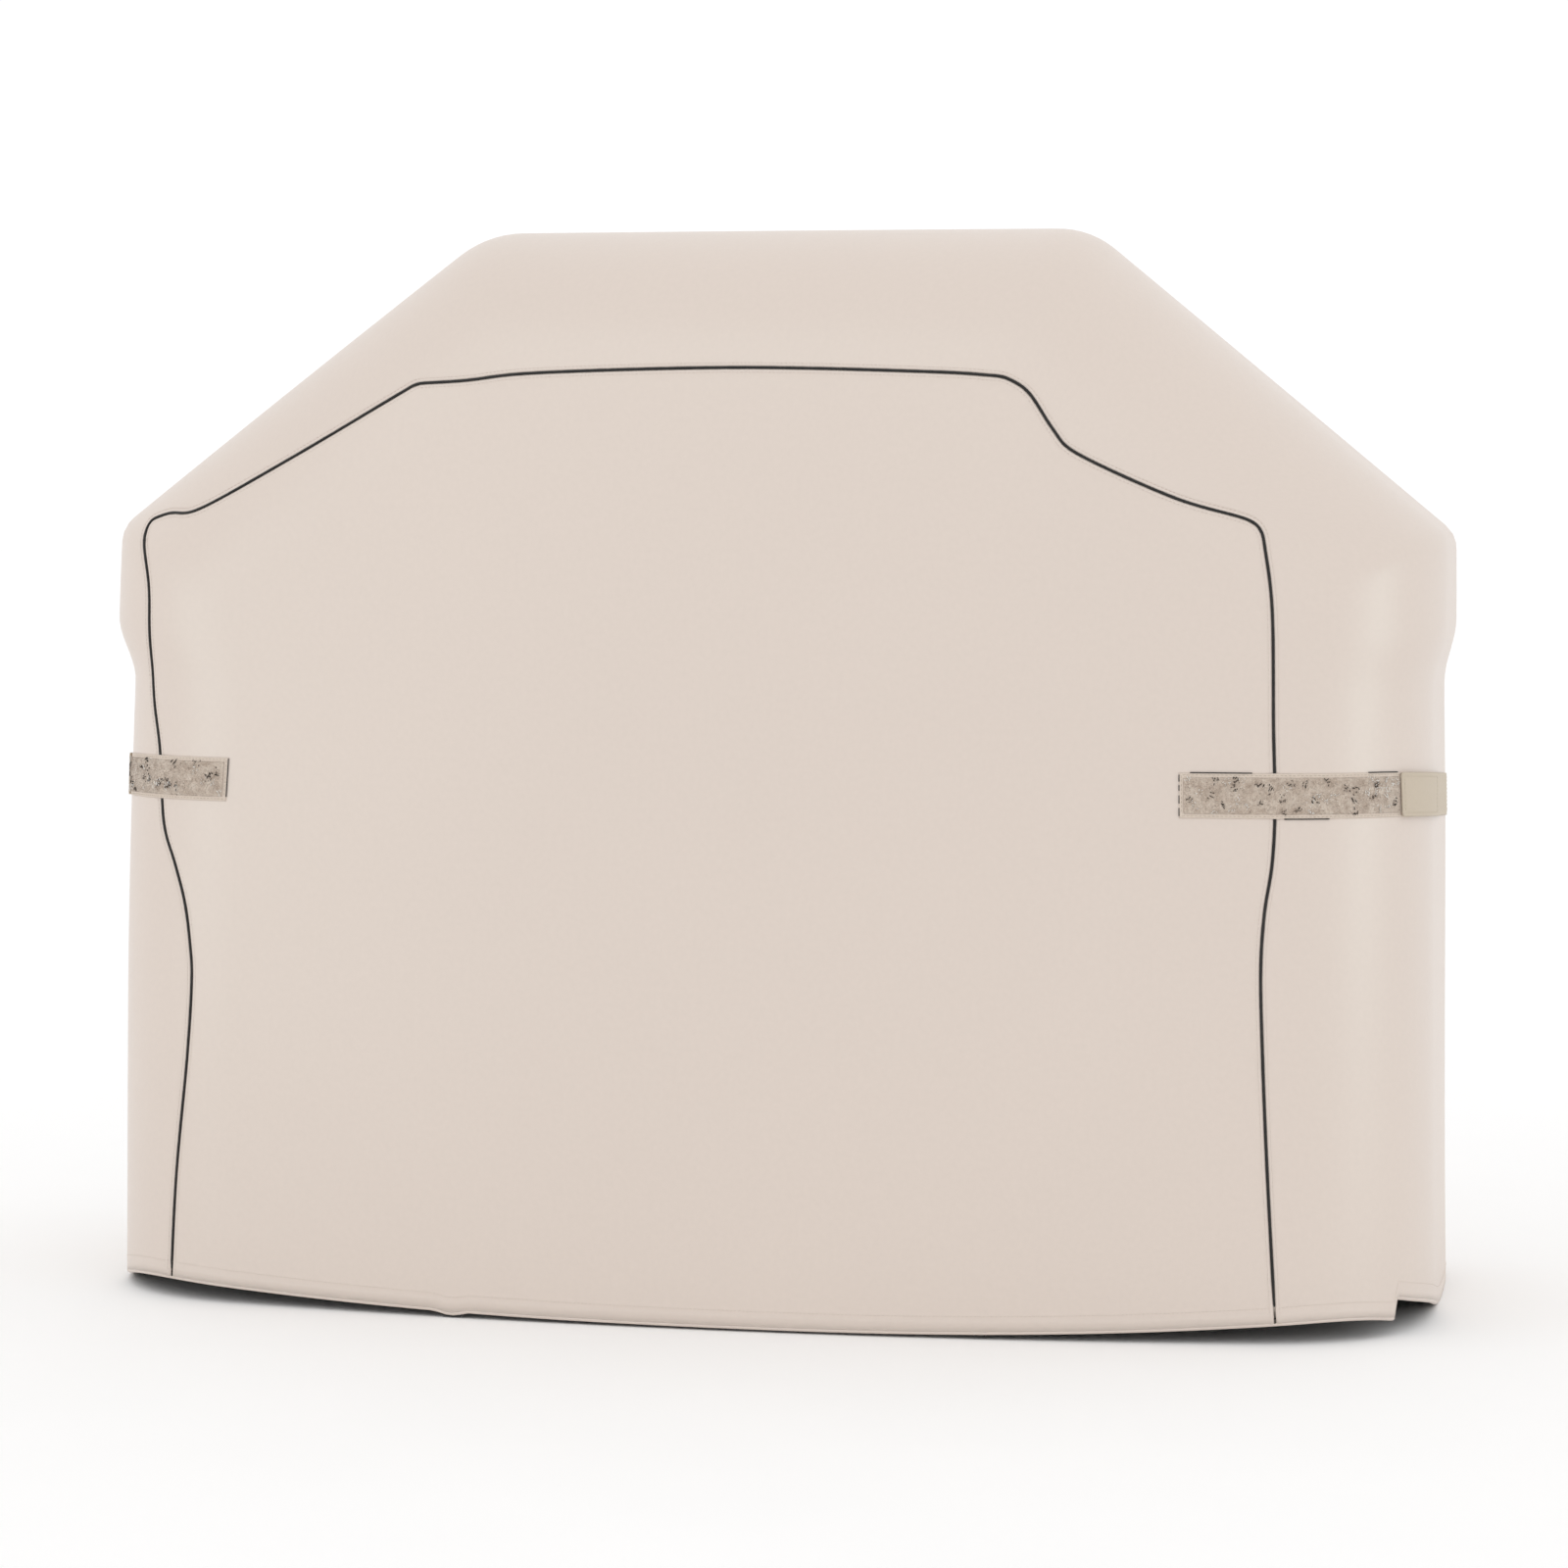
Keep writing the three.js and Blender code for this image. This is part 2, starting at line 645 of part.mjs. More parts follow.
function strapSet(name) {
  const sign = name === "left" ? -1 : 1;
  const past = (depth) => (p) => p.y > depth;
  const patchStart = (p) => p.y > -HALF_DEPTH && Math.abs(p.x) > Math.abs(PATCH_FRONT_X[name]);
  const tip = (p) => Math.abs(p.x) > STRAP_TIP_X;
  const patch = beltStretch(sign, patchStart, past(PATCH_REAR_Y));
  const strap = beltStretch(sign, tip, past(STRAP_ROOT_Y));
  const sewn = beltStretch(sign, past(STRAP_ROOT_Y), past(STRAP_ROOT_Y + ROOT_LENGTH));
  const hook = strap.slice(0, Math.round(HOOK_LENGTH / BELT_CELL));
  strap.push(strap.pop().lerp(strap.at(-1), STRAP_TRIM));

  const backingHigh = STRAP_LIFT + BACKING_THICK;
  const pileLow = backingHigh + GAP;
  const pileHigh = pileLow + PILE_THICK;
  const hookLow = pileHigh + GAP;
  const hookHigh = hookLow + HOOK_THICK;
  const strapLow = hookHigh + GAP;
  const strapHigh = strapLow + STRAP_THICK;
  const full = STRAP_HALF;
  const narrow = STRAP_HALF - PILE_MARGIN;
  const backing = strapGeometry(patch, full, STRAP_LIFT, backingHigh);
  const pile = strapGeometry(inset(patch), narrow, pileLow, pileHigh);
  const hooks = strapGeometry(hook, narrow, hookLow, hookHigh);
  return [
    meshOf(`${name}_patch_backing`, backing, COLOURS.webbing),
    meshOf(`${name}_loop_tape`, pile, COLOURS.pile),
    meshOf(`${name}_hook_tape`, hooks, COLOURS.webbing),
    meshOf(`${name}_strap`, strapGeometry(strap, full, strapLow, strapHigh), COLOURS.webbing),
    meshOf(`${name}_strap_root`, strapGeometry(sewn, full, GAP, strapHigh), COLOURS.webbing),
  ];
}

// ---- the cover ----
const front = panelSurface(SEAMS.front);
const rear = panelSurface(SEAMS.rear);
const strip = stripSurface();
const loop = hemLoop(front, rear, strip);

const seamTape = (panel, stripSide) =>
  shell(tapeSurface(panel, strip, stripSide), CLOTH + GAP, CLOTH + GAP + TAPE_THICK);

const group = new THREE.Group();
group.add(
  meshOf("front_panel", shell(front.surface, 0, CLOTH), COLOURS.cloth),
  meshOf("rear_panel", shell(rear.surface, 0, CLOTH), COLOURS.cloth),
  meshOf("side_and_top_panel", shell(gridFaces(strip), 0, CLOTH), COLOURS.cloth),
  meshOf("front_seam_piping", pipingGeometry(SEAMS.front), COLOURS.seam),
  meshOf("rear_seam_piping", pipingGeometry(SEAMS.rear), COLOURS.seam),
  meshOf("front_seam_tape", seamTape(front, -1), COLOURS.tape),
  meshOf("rear_seam_tape", seamTape(rear, 1), COLOURS.tape),
  meshOf("hem_band", hemGeometry(loop), COLOURS.cloth),
  meshOf("hem_elastic_cord", cordGeometry(loop), COLOURS.seam),
  ...["left", "right"].flatMap(strapSet),
);

export default group;
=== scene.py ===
"""Looks of a fitted grill cover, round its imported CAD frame: metres, +Z up, the front facing -Y."""

import math

import bpy
import numpy as np
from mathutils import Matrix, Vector


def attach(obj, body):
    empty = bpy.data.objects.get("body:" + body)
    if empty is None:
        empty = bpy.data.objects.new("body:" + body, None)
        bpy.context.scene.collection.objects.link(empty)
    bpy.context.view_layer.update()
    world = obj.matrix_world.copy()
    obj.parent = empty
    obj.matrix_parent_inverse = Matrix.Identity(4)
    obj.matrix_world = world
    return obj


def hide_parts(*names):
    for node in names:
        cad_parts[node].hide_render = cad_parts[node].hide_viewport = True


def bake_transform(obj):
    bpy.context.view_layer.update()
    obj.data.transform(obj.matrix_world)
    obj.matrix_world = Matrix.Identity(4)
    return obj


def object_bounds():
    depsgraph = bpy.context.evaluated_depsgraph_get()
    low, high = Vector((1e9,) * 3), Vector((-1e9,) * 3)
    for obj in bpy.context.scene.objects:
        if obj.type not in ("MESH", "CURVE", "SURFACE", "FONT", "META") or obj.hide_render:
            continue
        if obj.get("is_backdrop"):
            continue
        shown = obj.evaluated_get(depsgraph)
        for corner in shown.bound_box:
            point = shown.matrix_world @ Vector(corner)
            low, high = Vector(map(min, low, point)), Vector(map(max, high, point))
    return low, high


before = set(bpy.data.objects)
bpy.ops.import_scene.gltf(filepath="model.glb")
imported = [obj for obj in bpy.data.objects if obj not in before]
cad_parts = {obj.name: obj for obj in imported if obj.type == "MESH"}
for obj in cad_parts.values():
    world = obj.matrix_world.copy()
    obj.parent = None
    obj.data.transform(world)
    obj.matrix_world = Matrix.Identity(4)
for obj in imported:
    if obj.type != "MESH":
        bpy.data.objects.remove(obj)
CAD_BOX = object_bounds()
MM = 0.001

# ---- driving dimensions, as the CAD model has them ----
HALF_WIDTH = 740 * MM
HALF_DEPTH = 305 * MM
HEIGHT = 1168 * MM
SHOULDER = {"left": 845 * MM, "right": 835 * MM}
TOP_HALF_WIDTH = {"left": 325 * MM, "right": 346 * MM}
TOP_FRONT = 170 * MM
TOP_REAR = 200 * MM
FRONT_BEND = 850 * MM
REAR_BEND = 880 * MM
BOW = 75 * MM
BOW_AT_BEND = 0.5
BOW_TOP = 846 * MM
BAND_FOOT = 742 * MM
BAND_FADE = 70 * MM
PULL_IN = {"left": 22 * MM, "right": 13 * MM}
FLARE = 10 * MM
FLARE_FROM = 650 * MM
CORNER_BLEND = 175 * MM
SHOULDER_BLEND = 12 * MM
TOP_BLEND = 22 * MM
BEND_BLEND = 160 * MM
MID_BLEND = 30 * MM

HEM_LOW_X = 60 * MM
HEM_FRONT = 2 * MM
HEM_RISE = {"left": 28 * MM, "right": 31 * MM}
HEM_CURVE = {"left": 2.6, "right": 2.36}
HEM_FADE = (-270 * MM, -90 * MM)
HEM_STEP_X = 703 * MM
HEM_STEP = 23 * MM
HEM_STEP_RUN = 3 * MM  # a little steeper than in the CAD
HEM_STEP_FADE = (-130 * MM, 20 * MM)
CORD_RADIUS = 0.8 * MM
CORD_LOOPS = [  # where the elastic cord draws the hem down: middle, half width, drop of the cord
    (-295 * MM, 18 * MM, 5.2 * MM),
    (283 * MM, 8 * MM, 1.8 * MM),
]

CLOTH = 0.9 * MM
STRAP_Z = 571 * MM
STRAP_HALF = 23.5 * MM
STRAP_DIP = 0.076
STRAP_DIP_FROM = -180 * MM
STRAP_DIP_EASE = 40 * MM

# Seam outlines on the front and the rear face, as x and z in millimetres.
FRONT_LEFT = [
    (-629, 0), (-620, 134), (-605, 265), (-599, 351), (-602, 394), (-609, 436),
    (-623, 478), (-639, 520), (-647, 600), (-660, 668), (-665, 776), (-680, 832), (-678, 850),
]
FRONT_LEFT_SLOPE = [(-678, 850), (-650, 858), (-609, 863), (-498, 920), (-386, 983), (-358, 999)]
FRONT_TOP = [(-358, 999), (-301, 1002), (-219, 1010), (0, 1015), (208, 1010), (286, 1005)]
FRONT_RIGHT_SLOPE = [
    (560, 842), (544, 856), (469, 878), (366, 924), (340, 949), (312, 989), (286, 1005),
]
FRONT_RIGHT = [
    (587, 0), (581, 95), (575, 197), (570, 300), (567, 390), (570, 450),
    (577, 500), (579, 560), (576, 640), (572, 765), (560, 842),
]
REAR_SIDE = [(640, 0), (650, 300), (656, 600), (664, 800), (656, 862)]
REAR_SLOPE = [(656, 862), (560, 925), (400, 1050), (330, 1086)]
REAR_TOP = [(-330, 1086), (0, 1092), (330, 1086)]


# ---- the camera: the photograph's angle ----
CAMERA_AZIMUTH = math.radians(12)
CAMERA_ELEVATION = math.radians(4.36)
CAMERA_DISTANCE = 5.160
AIM_HEIGHT = 556.5 * MM
AIM_RIGHT = 8.45 * MM
LENS, SENSOR = 106.6, 36


def aimed(name, data, place, direction):
    """A camera or a light at a place, looking along a direction."""
    obj = bpy.data.objects.new(name, data)
    obj.location = place
    obj.rotation_mode = "QUATERNION"
    obj.rotation_quaternion = direction.to_track_quat("-Z", "Y")
    bpy.context.scene.collection.objects.link(obj)
    return obj


def make_camera():
    azimuth, elevation = CAMERA_AZIMUTH, CAMERA_ELEVATION
    back = Vector((
        math.sin(azimuth) * math.cos(elevation),
        -math.cos(azimuth) * math.cos(elevation),
        math.sin(elevation),
    ))
    aim = Vector((0, 0, AIM_HEIGHT)) + Vector((math.cos(azimuth), math.sin(azimuth), 0)) * AIM_RIGHT
    data = bpy.data.cameras.new("camera")
    data.sensor_width = SENSOR
    data.lens = LENS
    bpy.context.scene.camera = aimed("camera", data, aim + back * CAMERA_DISTANCE, -back)


make_camera()


# ---- the surface of the cover, as a distance that is positive outside ----
def unit(v):
    return v / np.linalg.norm(v, axis=-1, keepdims=True)


def smooth_max(a, b, blend):
    h = np.maximum(blend - np.abs(a - b), 0) / blend
    return np.maximum(a, b) + h * h * blend / 4


def fade(value, start, end):
    t = np.clip((value - start) / (end - start), 0, 1)
    return t * t * (3 - 2 * t)


def by_side(x, values):
    return np.where(x < 0, values["left"], values["right"])


def half_width(x, z):
    pull = by_side(x, PULL_IN) * fade(BAND_FOOT - z, 0, BAND_FADE)
    return HALF_WIDTH - pull + FLARE * np.clip(1 - z / FLARE_FROM, 0, 1)


def leaning(out, up, edge_out, edge_up, run):
    """The distance off a flat that leans inwards, by a run, from its edge to the top."""
    rise = HEIGHT - edge_up
    return (rise * (out - edge_out) + run * (up - edge_up)) / np.hypot(run, rise)


def front_bow(x, z):
    u = np.minimum(np.abs(x) / HALF_WIDTH, 1)
    share = 1 - BOW_AT_BEND * fade(z, 0, BOW_TOP)
    return HALF_DEPTH - BOW + BOW * (1 - u * u) * share


def skin(p):
    x, y, z = p[..., 0], p[..., 1], p[..., 2]
    side = np.abs(x) - half_width(x, z)
    run = HALF_WIDTH - by_side(x, TOP_HALF_WIDTH)
    slope = leaning(np.abs(x), z, HALF_WIDTH, by_side(x, SHOULDER), run)
    ends = smooth_max(smooth_max(side, slope, SHOULDER_BLEND), z - HEIGHT, TOP_BLEND)
    front = -y - front_bow(x, z)
    bend = front_bow(x, np.full_like(z, BOW_TOP))
    front_lean = leaning(-y, z, bend, FRONT_BEND, HALF_DEPTH - BOW * BOW_AT_BEND - TOP_FRONT)
    rear_lean = leaning(y, z, HALF_DEPTH, REAR_BEND, HALF_DEPTH - TOP_REAR)
    faces = smooth_max(
        smooth_max(front, front_lean, BEND_BLEND),
        smooth_max(y - HALF_DEPTH, rear_lean, BEND_BLEND),
        MID_BLEND,
    )
    return smooth_max(ends, faces, CORNER_BLEND)


REACH = 1.6
HALVINGS = 24


def on_skin(start, through):
    """The points of the surface on the rays from inner points through others."""
    ray = unit(through - start)
    near = np.zeros(ray.shape[:-1] + (1,))
    far = np.full_like(near, REACH)
    for _ in range(HALVINGS):
        middle = (near + far) / 2
        inside = skin(start + ray * middle)[..., None] < 0
        near = np.where(inside, middle, near)
        far = np.where(inside, far, middle)
    return start + ray * near


def normals(p):
    step = 0.4 * MM
    return unit(np.stack([skin(p + axis) - skin(p - axis) for axis in np.eye(3) * step], axis=-1))


def face_points(x, z, side):
    """Points of the front (side -1) or rear (side 1) of the surface."""
    x, z = np.broadcast_arrays(np.asarray(x, float), np.asarray(z, float))
    start = np.stack([x, np.zeros_like(x), z], axis=-1)
    return on_skin(start, start + np.array([0, side, 0]))


def hem_height(x, y):
    """How high the hem hangs over the floor."""
    left = x < HEM_LOW_X
    span = np.where(left, HALF_WIDTH + HEM_LOW_X, HALF_WIDTH - HEM_LOW_X)
    power = np.where(left, HEM_CURVE["left"], HEM_CURVE["right"])
    rise = np.where(left, HEM_RISE["left"], HEM_RISE["right"])
    rise = rise * (np.abs(x - HEM_LOW_X) / span) ** power
    step = HEM_STEP * fade(x, HEM_STEP_X, HEM_STEP_X + HEM_STEP_RUN)
    height = (HEM_FRONT + rise) * (1 - fade(y, *HEM_FADE)) + step * (1 - fade(y, *HEM_STEP_FADE))
    for middle, half, drop in CORD_LOOPS:
        u = np.clip(np.abs(x - middle) / half, 0, 1)
        cloth_drop = max(0, drop - 2 * CORD_RADIUS)
        height = height - np.where(y < 0, cloth_drop * np.cos(u * math.pi / 2), 0)
    return height


# ---- the way the cloth hangs: small lifts off the taut surface ----
def ripple(p, waves):
    """A sum of sine waves over a point's place: each has a direction, a length and a shift."""
    total = np.zeros(p.shape[:-1])
    for direction, length, shift in waves:
        total = total + np.sin((p @ np.array(direction)) * 2 * math.pi / length + shift)
    return total / len(waves)


SLACK_WAVES = [
    ((1.0, 0.35, 0.10), 0.46, 0.4),
    ((0.8, -0.65, -0.12), 0.31, 2.1),
    ((0.25, 1.0, 0.18), 0.23, 1.3),
    ((0.9, 0.5, -0.35), 0.63, 4.0),
]


def drape(p):
    """How far the cloth stands off the taut surface, mostly on the sides and the rear."""
    low = 1 - fade(p[..., 2], 0.15, 0.80)
    rear = fade(p[..., 1], -0.12, 0.20)
    slack = ripple(p, SLACK_WAVES)
    strap_hold = 1 - 0.8 * np.exp(-(((p[..., 2] - STRAP_Z) / 0.09) ** 2))
    return slack * (0.5 + 2.6 * rear) * MM * low * strap_hold


def lifted(p, height):
    """Points moved off the cloth along its normal by a height in metres."""
    height = np.broadcast_to(height, p.shape[:-1])
    return p + normals(p) * (height + drape(p))[..., None]


# ---- curves ----
SPLINE_STEPS = 24  # from one outline point to the next


def spline(points, step):
    """A smooth line through outline points in millimetres, as points in metres about a step apart."""
    p = np.array(points, float) * MM
    p = np.vstack([2 * p[0] - p[1], p, 2 * p[-1] - p[-2]])
    t = np.linspace(0, 1, SPLINE_STEPS, endpoint=False)[:, None]
    line = []
    for a, b, c, d in zip(p, p[1:], p[2:], p[3:]):
        square, cube = 2 * a - 5 * b + 4 * c - d, 3 * b - a - 3 * c + d
        line.append(0.5 * (2 * b + (c - a) * t + square * t**2 + cube * t**3))
    return spaced(np.vstack([*line, p[-2:-1]]), step)


def length_along(line):
    return np.concatenate([[0], np.cumsum(np.linalg.norm(np.diff(line, axis=0), axis=1))])


def at_lengths(line, at):
    """The points of a line at lengths along it."""
    along = length_along(line)
    return np.stack([np.interp(at, along, line[:, k]) for k in range(line.shape[1])], axis=1)


def resampled(line, count):
    return at_lengths(line, np.linspace(0, length_along(line)[-1], count))


def spaced(line, step):
    return resampled(line, max(2, round(length_along(line)[-1] / step)) + 1)


def softened(line, radius, step):
    """The line with its sharp turns rounded, its ends kept."""
    width = int(round(2.5 * radius / step))
    kernel = np.exp(-0.5 * (np.arange(-width, width + 1) * step / radius) ** 2)
    kernel /= kernel.sum()
    before = 2 * line[0] - line[width:0:-1]
    after = 2 * line[-1] - line[-2 : -width - 2 : -1]
    padded = np.vstack([before, line, after])
    return np.stack([np.convolve(padded[:, k], kernel, "valid") for k in range(line.shape[1])], axis=1)


SEAM_ROUND = 5 * MM  # how far the sharp turns of a seam are rounded
HEM_TURN = 3.5 * MM  # radius of the fold at the hem's lower edge


def above_hem(line, side):
    """The part of a seam's line between its two ends at the hem's fold."""
    y = face_points(line[:, 0], line[:, 1], side)[:, 1]
    over = line[:, 1] - hem_height(line[:, 0], y) - HEM_TURN
    first = int(np.argmax(over > 0))
    last = len(over) - 1 - int(np.argmax(over[::-1] > 0))

    def crossing(inner, outer):
        return line[inner] + (line[outer] - line[inner]) * over[inner] / (over[inner] - over[outer])

    return np.vstack([crossing(first, first - 1), line[first : last + 1], crossing(last, last + 1)])


def seam_line(parts, side):
    line = np.vstack([spline(part, 1 * MM) for part in parts])
    keep = np.concatenate([[True], np.linalg.norm(np.diff(line, axis=0), axis=1) > 0.2 * MM])
    line = softened(spaced(line[keep], 1 * MM), SEAM_ROUND, 1 * MM)
    return spaced(above_hem(line, side), 1 * MM)


def mirrored(points):
    return [(-x, z) for x, z in points]


FRONT_PARTS = [FRONT_LEFT, FRONT_LEFT_SLOPE, FRONT_TOP, FRONT_RIGHT_SLOPE[::-1], FRONT_RIGHT[::-1]]
REAR_PARTS = [mirrored(REAR_SIDE), mirrored(REAR_SLOPE), REAR_TOP, REAR_SLOPE[::-1], REAR_SIDE[::-1]]
SEAMS = {"front": (-1, seam_line(FRONT_PARTS, -1)), "rear": (1, seam_line(REAR_PARTS, 1))}
# The seams' corners, where the side run meets the slope, and where the slope meets the top.
CORNERS = {
    "front": [FRONT_LEFT[-1], FRONT_TOP[0], FRONT_TOP[-1], FRONT_RIGHT[-1]],
    "rear": [mirrored(REAR_SIDE)[-1], REAR_TOP[0], REAR_TOP[-1], REAR_SIDE[-1]],
}


def seam_stretches(which):
    """A seam's line cut at its corners: left side, left slope, top, right slope, right side."""
    line = SEAMS[which][1]
    cuts = [0]
    for corner in CORNERS[which]:
        cuts.append(int(np.argmin(np.linalg.norm(line - np.array(corner) * MM, axis=1))))
    cuts.append(len(line) - 1)
    return [line[a : b + 1] for a, b in zip(cuts, cuts[1:])]


def offset_line(line, inward):
    """A seam's line moved sideways in its face, towards the panel's middle."""
    along = unit(np.gradient(line, axis=0))
    return line + np.stack([along[:, 1], -along[:, 0]], axis=1) * inward


def seam_points(line, side, inward=0.0):
    """Points in space of a seam's line, its two ends on the hem."""
    moved = offset_line(line, inward)
    return face_points(moved[:, 0], np.maximum(moved[:, 1], 0), side)


# ---- meshes ----
def grid_faces(rows, columns, closed=False):
    faces = []
    for j in range(rows - 1):
        for i in range(columns if closed else columns - 1):
            a = j * columns + i
            b = j * columns + (i + 1) % columns
            faces.append((a, b, b + columns, a + columns))
    return faces


def make_mesh(name, points, faces, place=None):
    """A smooth mesh object. place is each point's place in its own cloth, for the weave."""
    mesh = bpy.data.meshes.new(name)
    mesh.from_pydata(np.asarray(points).reshape(-1, 3).tolist(), [], faces)
    mesh.validate()
    mesh.shade_smooth()
    if place is not None:
        layer = mesh.attributes.new("cloth_place", "FLOAT_VECTOR", "POINT")
        flat = np.asarray(place, float).reshape(-1, place.shape[-1])
        layer.data.foreach_set("vector", np.pad(flat, ((0, 0), (0, 3 - flat.shape[1]))).ravel())
    obj = bpy.data.objects.new(name, mesh)
    bpy.context.scene.collection.objects.link(obj)
    return obj


def grid_object(name, rows, place=None, closed=False, outward=None):
    """A mesh over a grid of points. outward is the side that its first face is turned to."""
    count, width = rows.shape[:2]
    faces = grid_faces(count, width, closed)
    first = faces[0]
    p = rows.reshape(-1, 3)
    facing = np.cross(p[first[1]] - p[first[0]], p[first[3]] - p[first[0]])
    out = normals(p[first[0]]) if outward is None else outward
    if facing @ out < 0:
        faces = [face[::-1] for face in faces]
    return make_mesh(name, p, faces, place)


def thicken(obj, thickness, inner_slot=0, offset=-1):
    """Gives a sheet its thickness, inwards, its inner face with another material slot."""
    solid = obj.modifiers.new("thickness", "SOLIDIFY")
    solid.thickness = thickness
    solid.offset = offset
    solid.material_offset = inner_slot
    solid.use_even_offset = False


def rings_round(points, first, second, sides, radius):
    """Rings of points round a line's points, from two directions across it."""
    angle = (np.arange(sides) * 2 * math.pi / sides)[:, None]
    ring = np.cos(angle) * first[..., None, :] + np.sin(angle) * second[..., None, :]
    return points[..., None, :] + ring * radius


def tube(points, radius, sides, closed=False, across=None):
    """The rings of a round tube along a line of points."""
    if closed:
        along = unit(np.roll(points, -1, axis=0) - np.roll(points, 1, axis=0))
    else:
        along = unit(np.gradient(points, axis=0))
    across = normals(points) if across is None else across
    first = unit(across - (across * along).sum(1, keepdims=True) * along)
    radius = np.broadcast_to(radius, len(points))[:, None, None]
    return rings_round(points, first, np.cross(along, first), sides, radius)


def tube_faces(rings, sides, closed=False):
    """The wall of a tube, with its two caps or the joint between its ends."""
    last = (rings - 1) * sides
    ends = [tuple(range(sides))[::-1], tuple(range(last, last + sides))]
    if closed:
        ends = [(last + i, last + (i + 1) % sides, (i + 1) % sides, i) for i in range(sides)]
    return grid_faces(rings, sides, closed=True) + ends


def tube_object(name, points, radius, sides, closed=False, across=None):
    rings = tube(points, radius, sides, closed, across)
    return make_mesh(name, rings, [face[::-1] for face in tube_faces(len(rings), sides, closed)])


def short_tubes(name, rings):
    """Many short capped tubes in one mesh, from the rings of each."""
    count, length, sides = rings.shape[:3]
    pattern = tube_faces(length, sides)
    faces = [tuple(length * sides * i + k for k in face) for i in range(count) for face in pattern]
    return make_mesh(name, rings, faces)


# ---- materials ----
class Nodes:
    """A material and a short way to add nodes to it."""

    def __init__(self, name, roughness, sheen=0.0, specular=0.3):
        self.material = bpy.data.materials.new(name)
        self.material.use_nodes = True
        self.tree = self.material.node_tree
        self.shader = self.tree.nodes["Principled BSDF"]
        self.shader.inputs["Roughness"].default_value = roughness
        self.shader.inputs["Specular IOR Level"].default_value = specular
        self.shader.inputs["Sheen Weight"].default_value = sheen
        self.shader.inputs["Sheen Roughness"].default_value = 0.5

    def add(self, kind, **values):
        node = self.tree.nodes.new(kind)
        for key, value in values.items():
            setattr(node, key, value)
        return node

    def link(self, source, target):
        self.tree.links.new(source, target)
        return target

    def place(self):
        node = self.add("ShaderNodeAttribute", attribute_name="cloth_place")
        return node.outputs["Vector"]

    def position(self):
        return self.add("ShaderNodeTexCoord").outputs["Object"]

    def math(self, operation, a, b=0.0):
        node = self.add("ShaderNodeMath", operation=operation)
        for socket, value in zip(node.inputs, (a, b)):
            if isinstance(value, (int, float)):
                socket.default_value = value
            else:
                self.link(value, socket)
        return node.outputs[0]

    def weighted(self, *terms):
        """The sum of values, each times its weight."""
        total = self.math("MULTIPLY", *terms[0])
        for term in terms[1:]:
            total = self.math("ADD", total, self.math("MULTIPLY", *term))
        return total

    def noise(self, vector, scale, detail=2.0, roughness=0.5):
        node = self.add("ShaderNodeTexNoise")
        node.inputs["Scale"].default_value = scale
        node.inputs["Detail"].default_value = detail
        node.inputs["Roughness"].default_value = roughness
        self.link(vector, node.inputs["Vector"])
        return node.outputs["Fac"]

    def ramp(self, factor, stops):
        node = self.add("ShaderNodeValToRGB")
        elements = node.color_ramp.elements
        while len(elements) < len(stops):
            elements.new(0.5)
        for element, (at, colour) in zip(elements, stops):
            element.position = at
            element.color = (*colour, 1)
        self.link(factor, node.inputs["Fac"])
        return node.outputs["Color"]

    def bump(self, height, distance, strength=1.0):
        node = self.add("ShaderNodeBump")
        node.inputs["Distance"].default_value = distance
        node.inputs["Strength"].default_value = strength
        self.link(height, node.inputs["Height"])
        self.link(node.outputs["Normal"], self.shader.inputs["Normal"])

    def colour(self, source):
        self.link(source, self.shader.inputs["Base Color"])

    def roughness(self, source):
        self.link(source, self.shader.inputs["Roughness"])


def linear(r, g, b):
    """A linear colour from 0-255 screen values."""
    return tuple(((c / 255 + 0.055) / 1.055) ** 2.4 for c in (r, g, b))


def shaded(colour, factor):
    return tuple(min(1, c * factor) for c in colour)


def weave_height(m, place, pitch):
    """The height of a plain weave: warp over weft and weft over warp, in squares of one pitch."""
    split = m.add("ShaderNodeSeparateXYZ")
    m.link(place, split.inputs[0])
    waves = [m.math("SINE", m.math("MULTIPLY", split.outputs[k], math.pi / pitch)) for k in (0, 1)]
    warp, weft = (m.math("ABSOLUTE", wave) for wave in waves)
    over = m.math("GREATER_THAN", m.math("MULTIPLY", *waves), 0.0)
    under = m.math("SUBTRACT", 1.0, over)
    return m.math("ADD", m.math("MULTIPLY", warp, over), m.math("MULTIPLY", weft, under))


def grained(name, dark, light, scale, detail=2, relief=None, **surface):
    """Two tones that meet in one fine grain. relief is the depth and the strength of its bumps."""
    m = Nodes(name, **surface)
    grain = m.noise(m.position(), scale, detail)
    m.colour(m.ramp(grain, [(0.3, dark), (0.7, light)]))
    if relief:
        m.bump(grain, *relief)
    return m.material


CLOTH_COLOUR = linear(219, 206, 196)
WEAVE_PITCH = 0.62 * MM


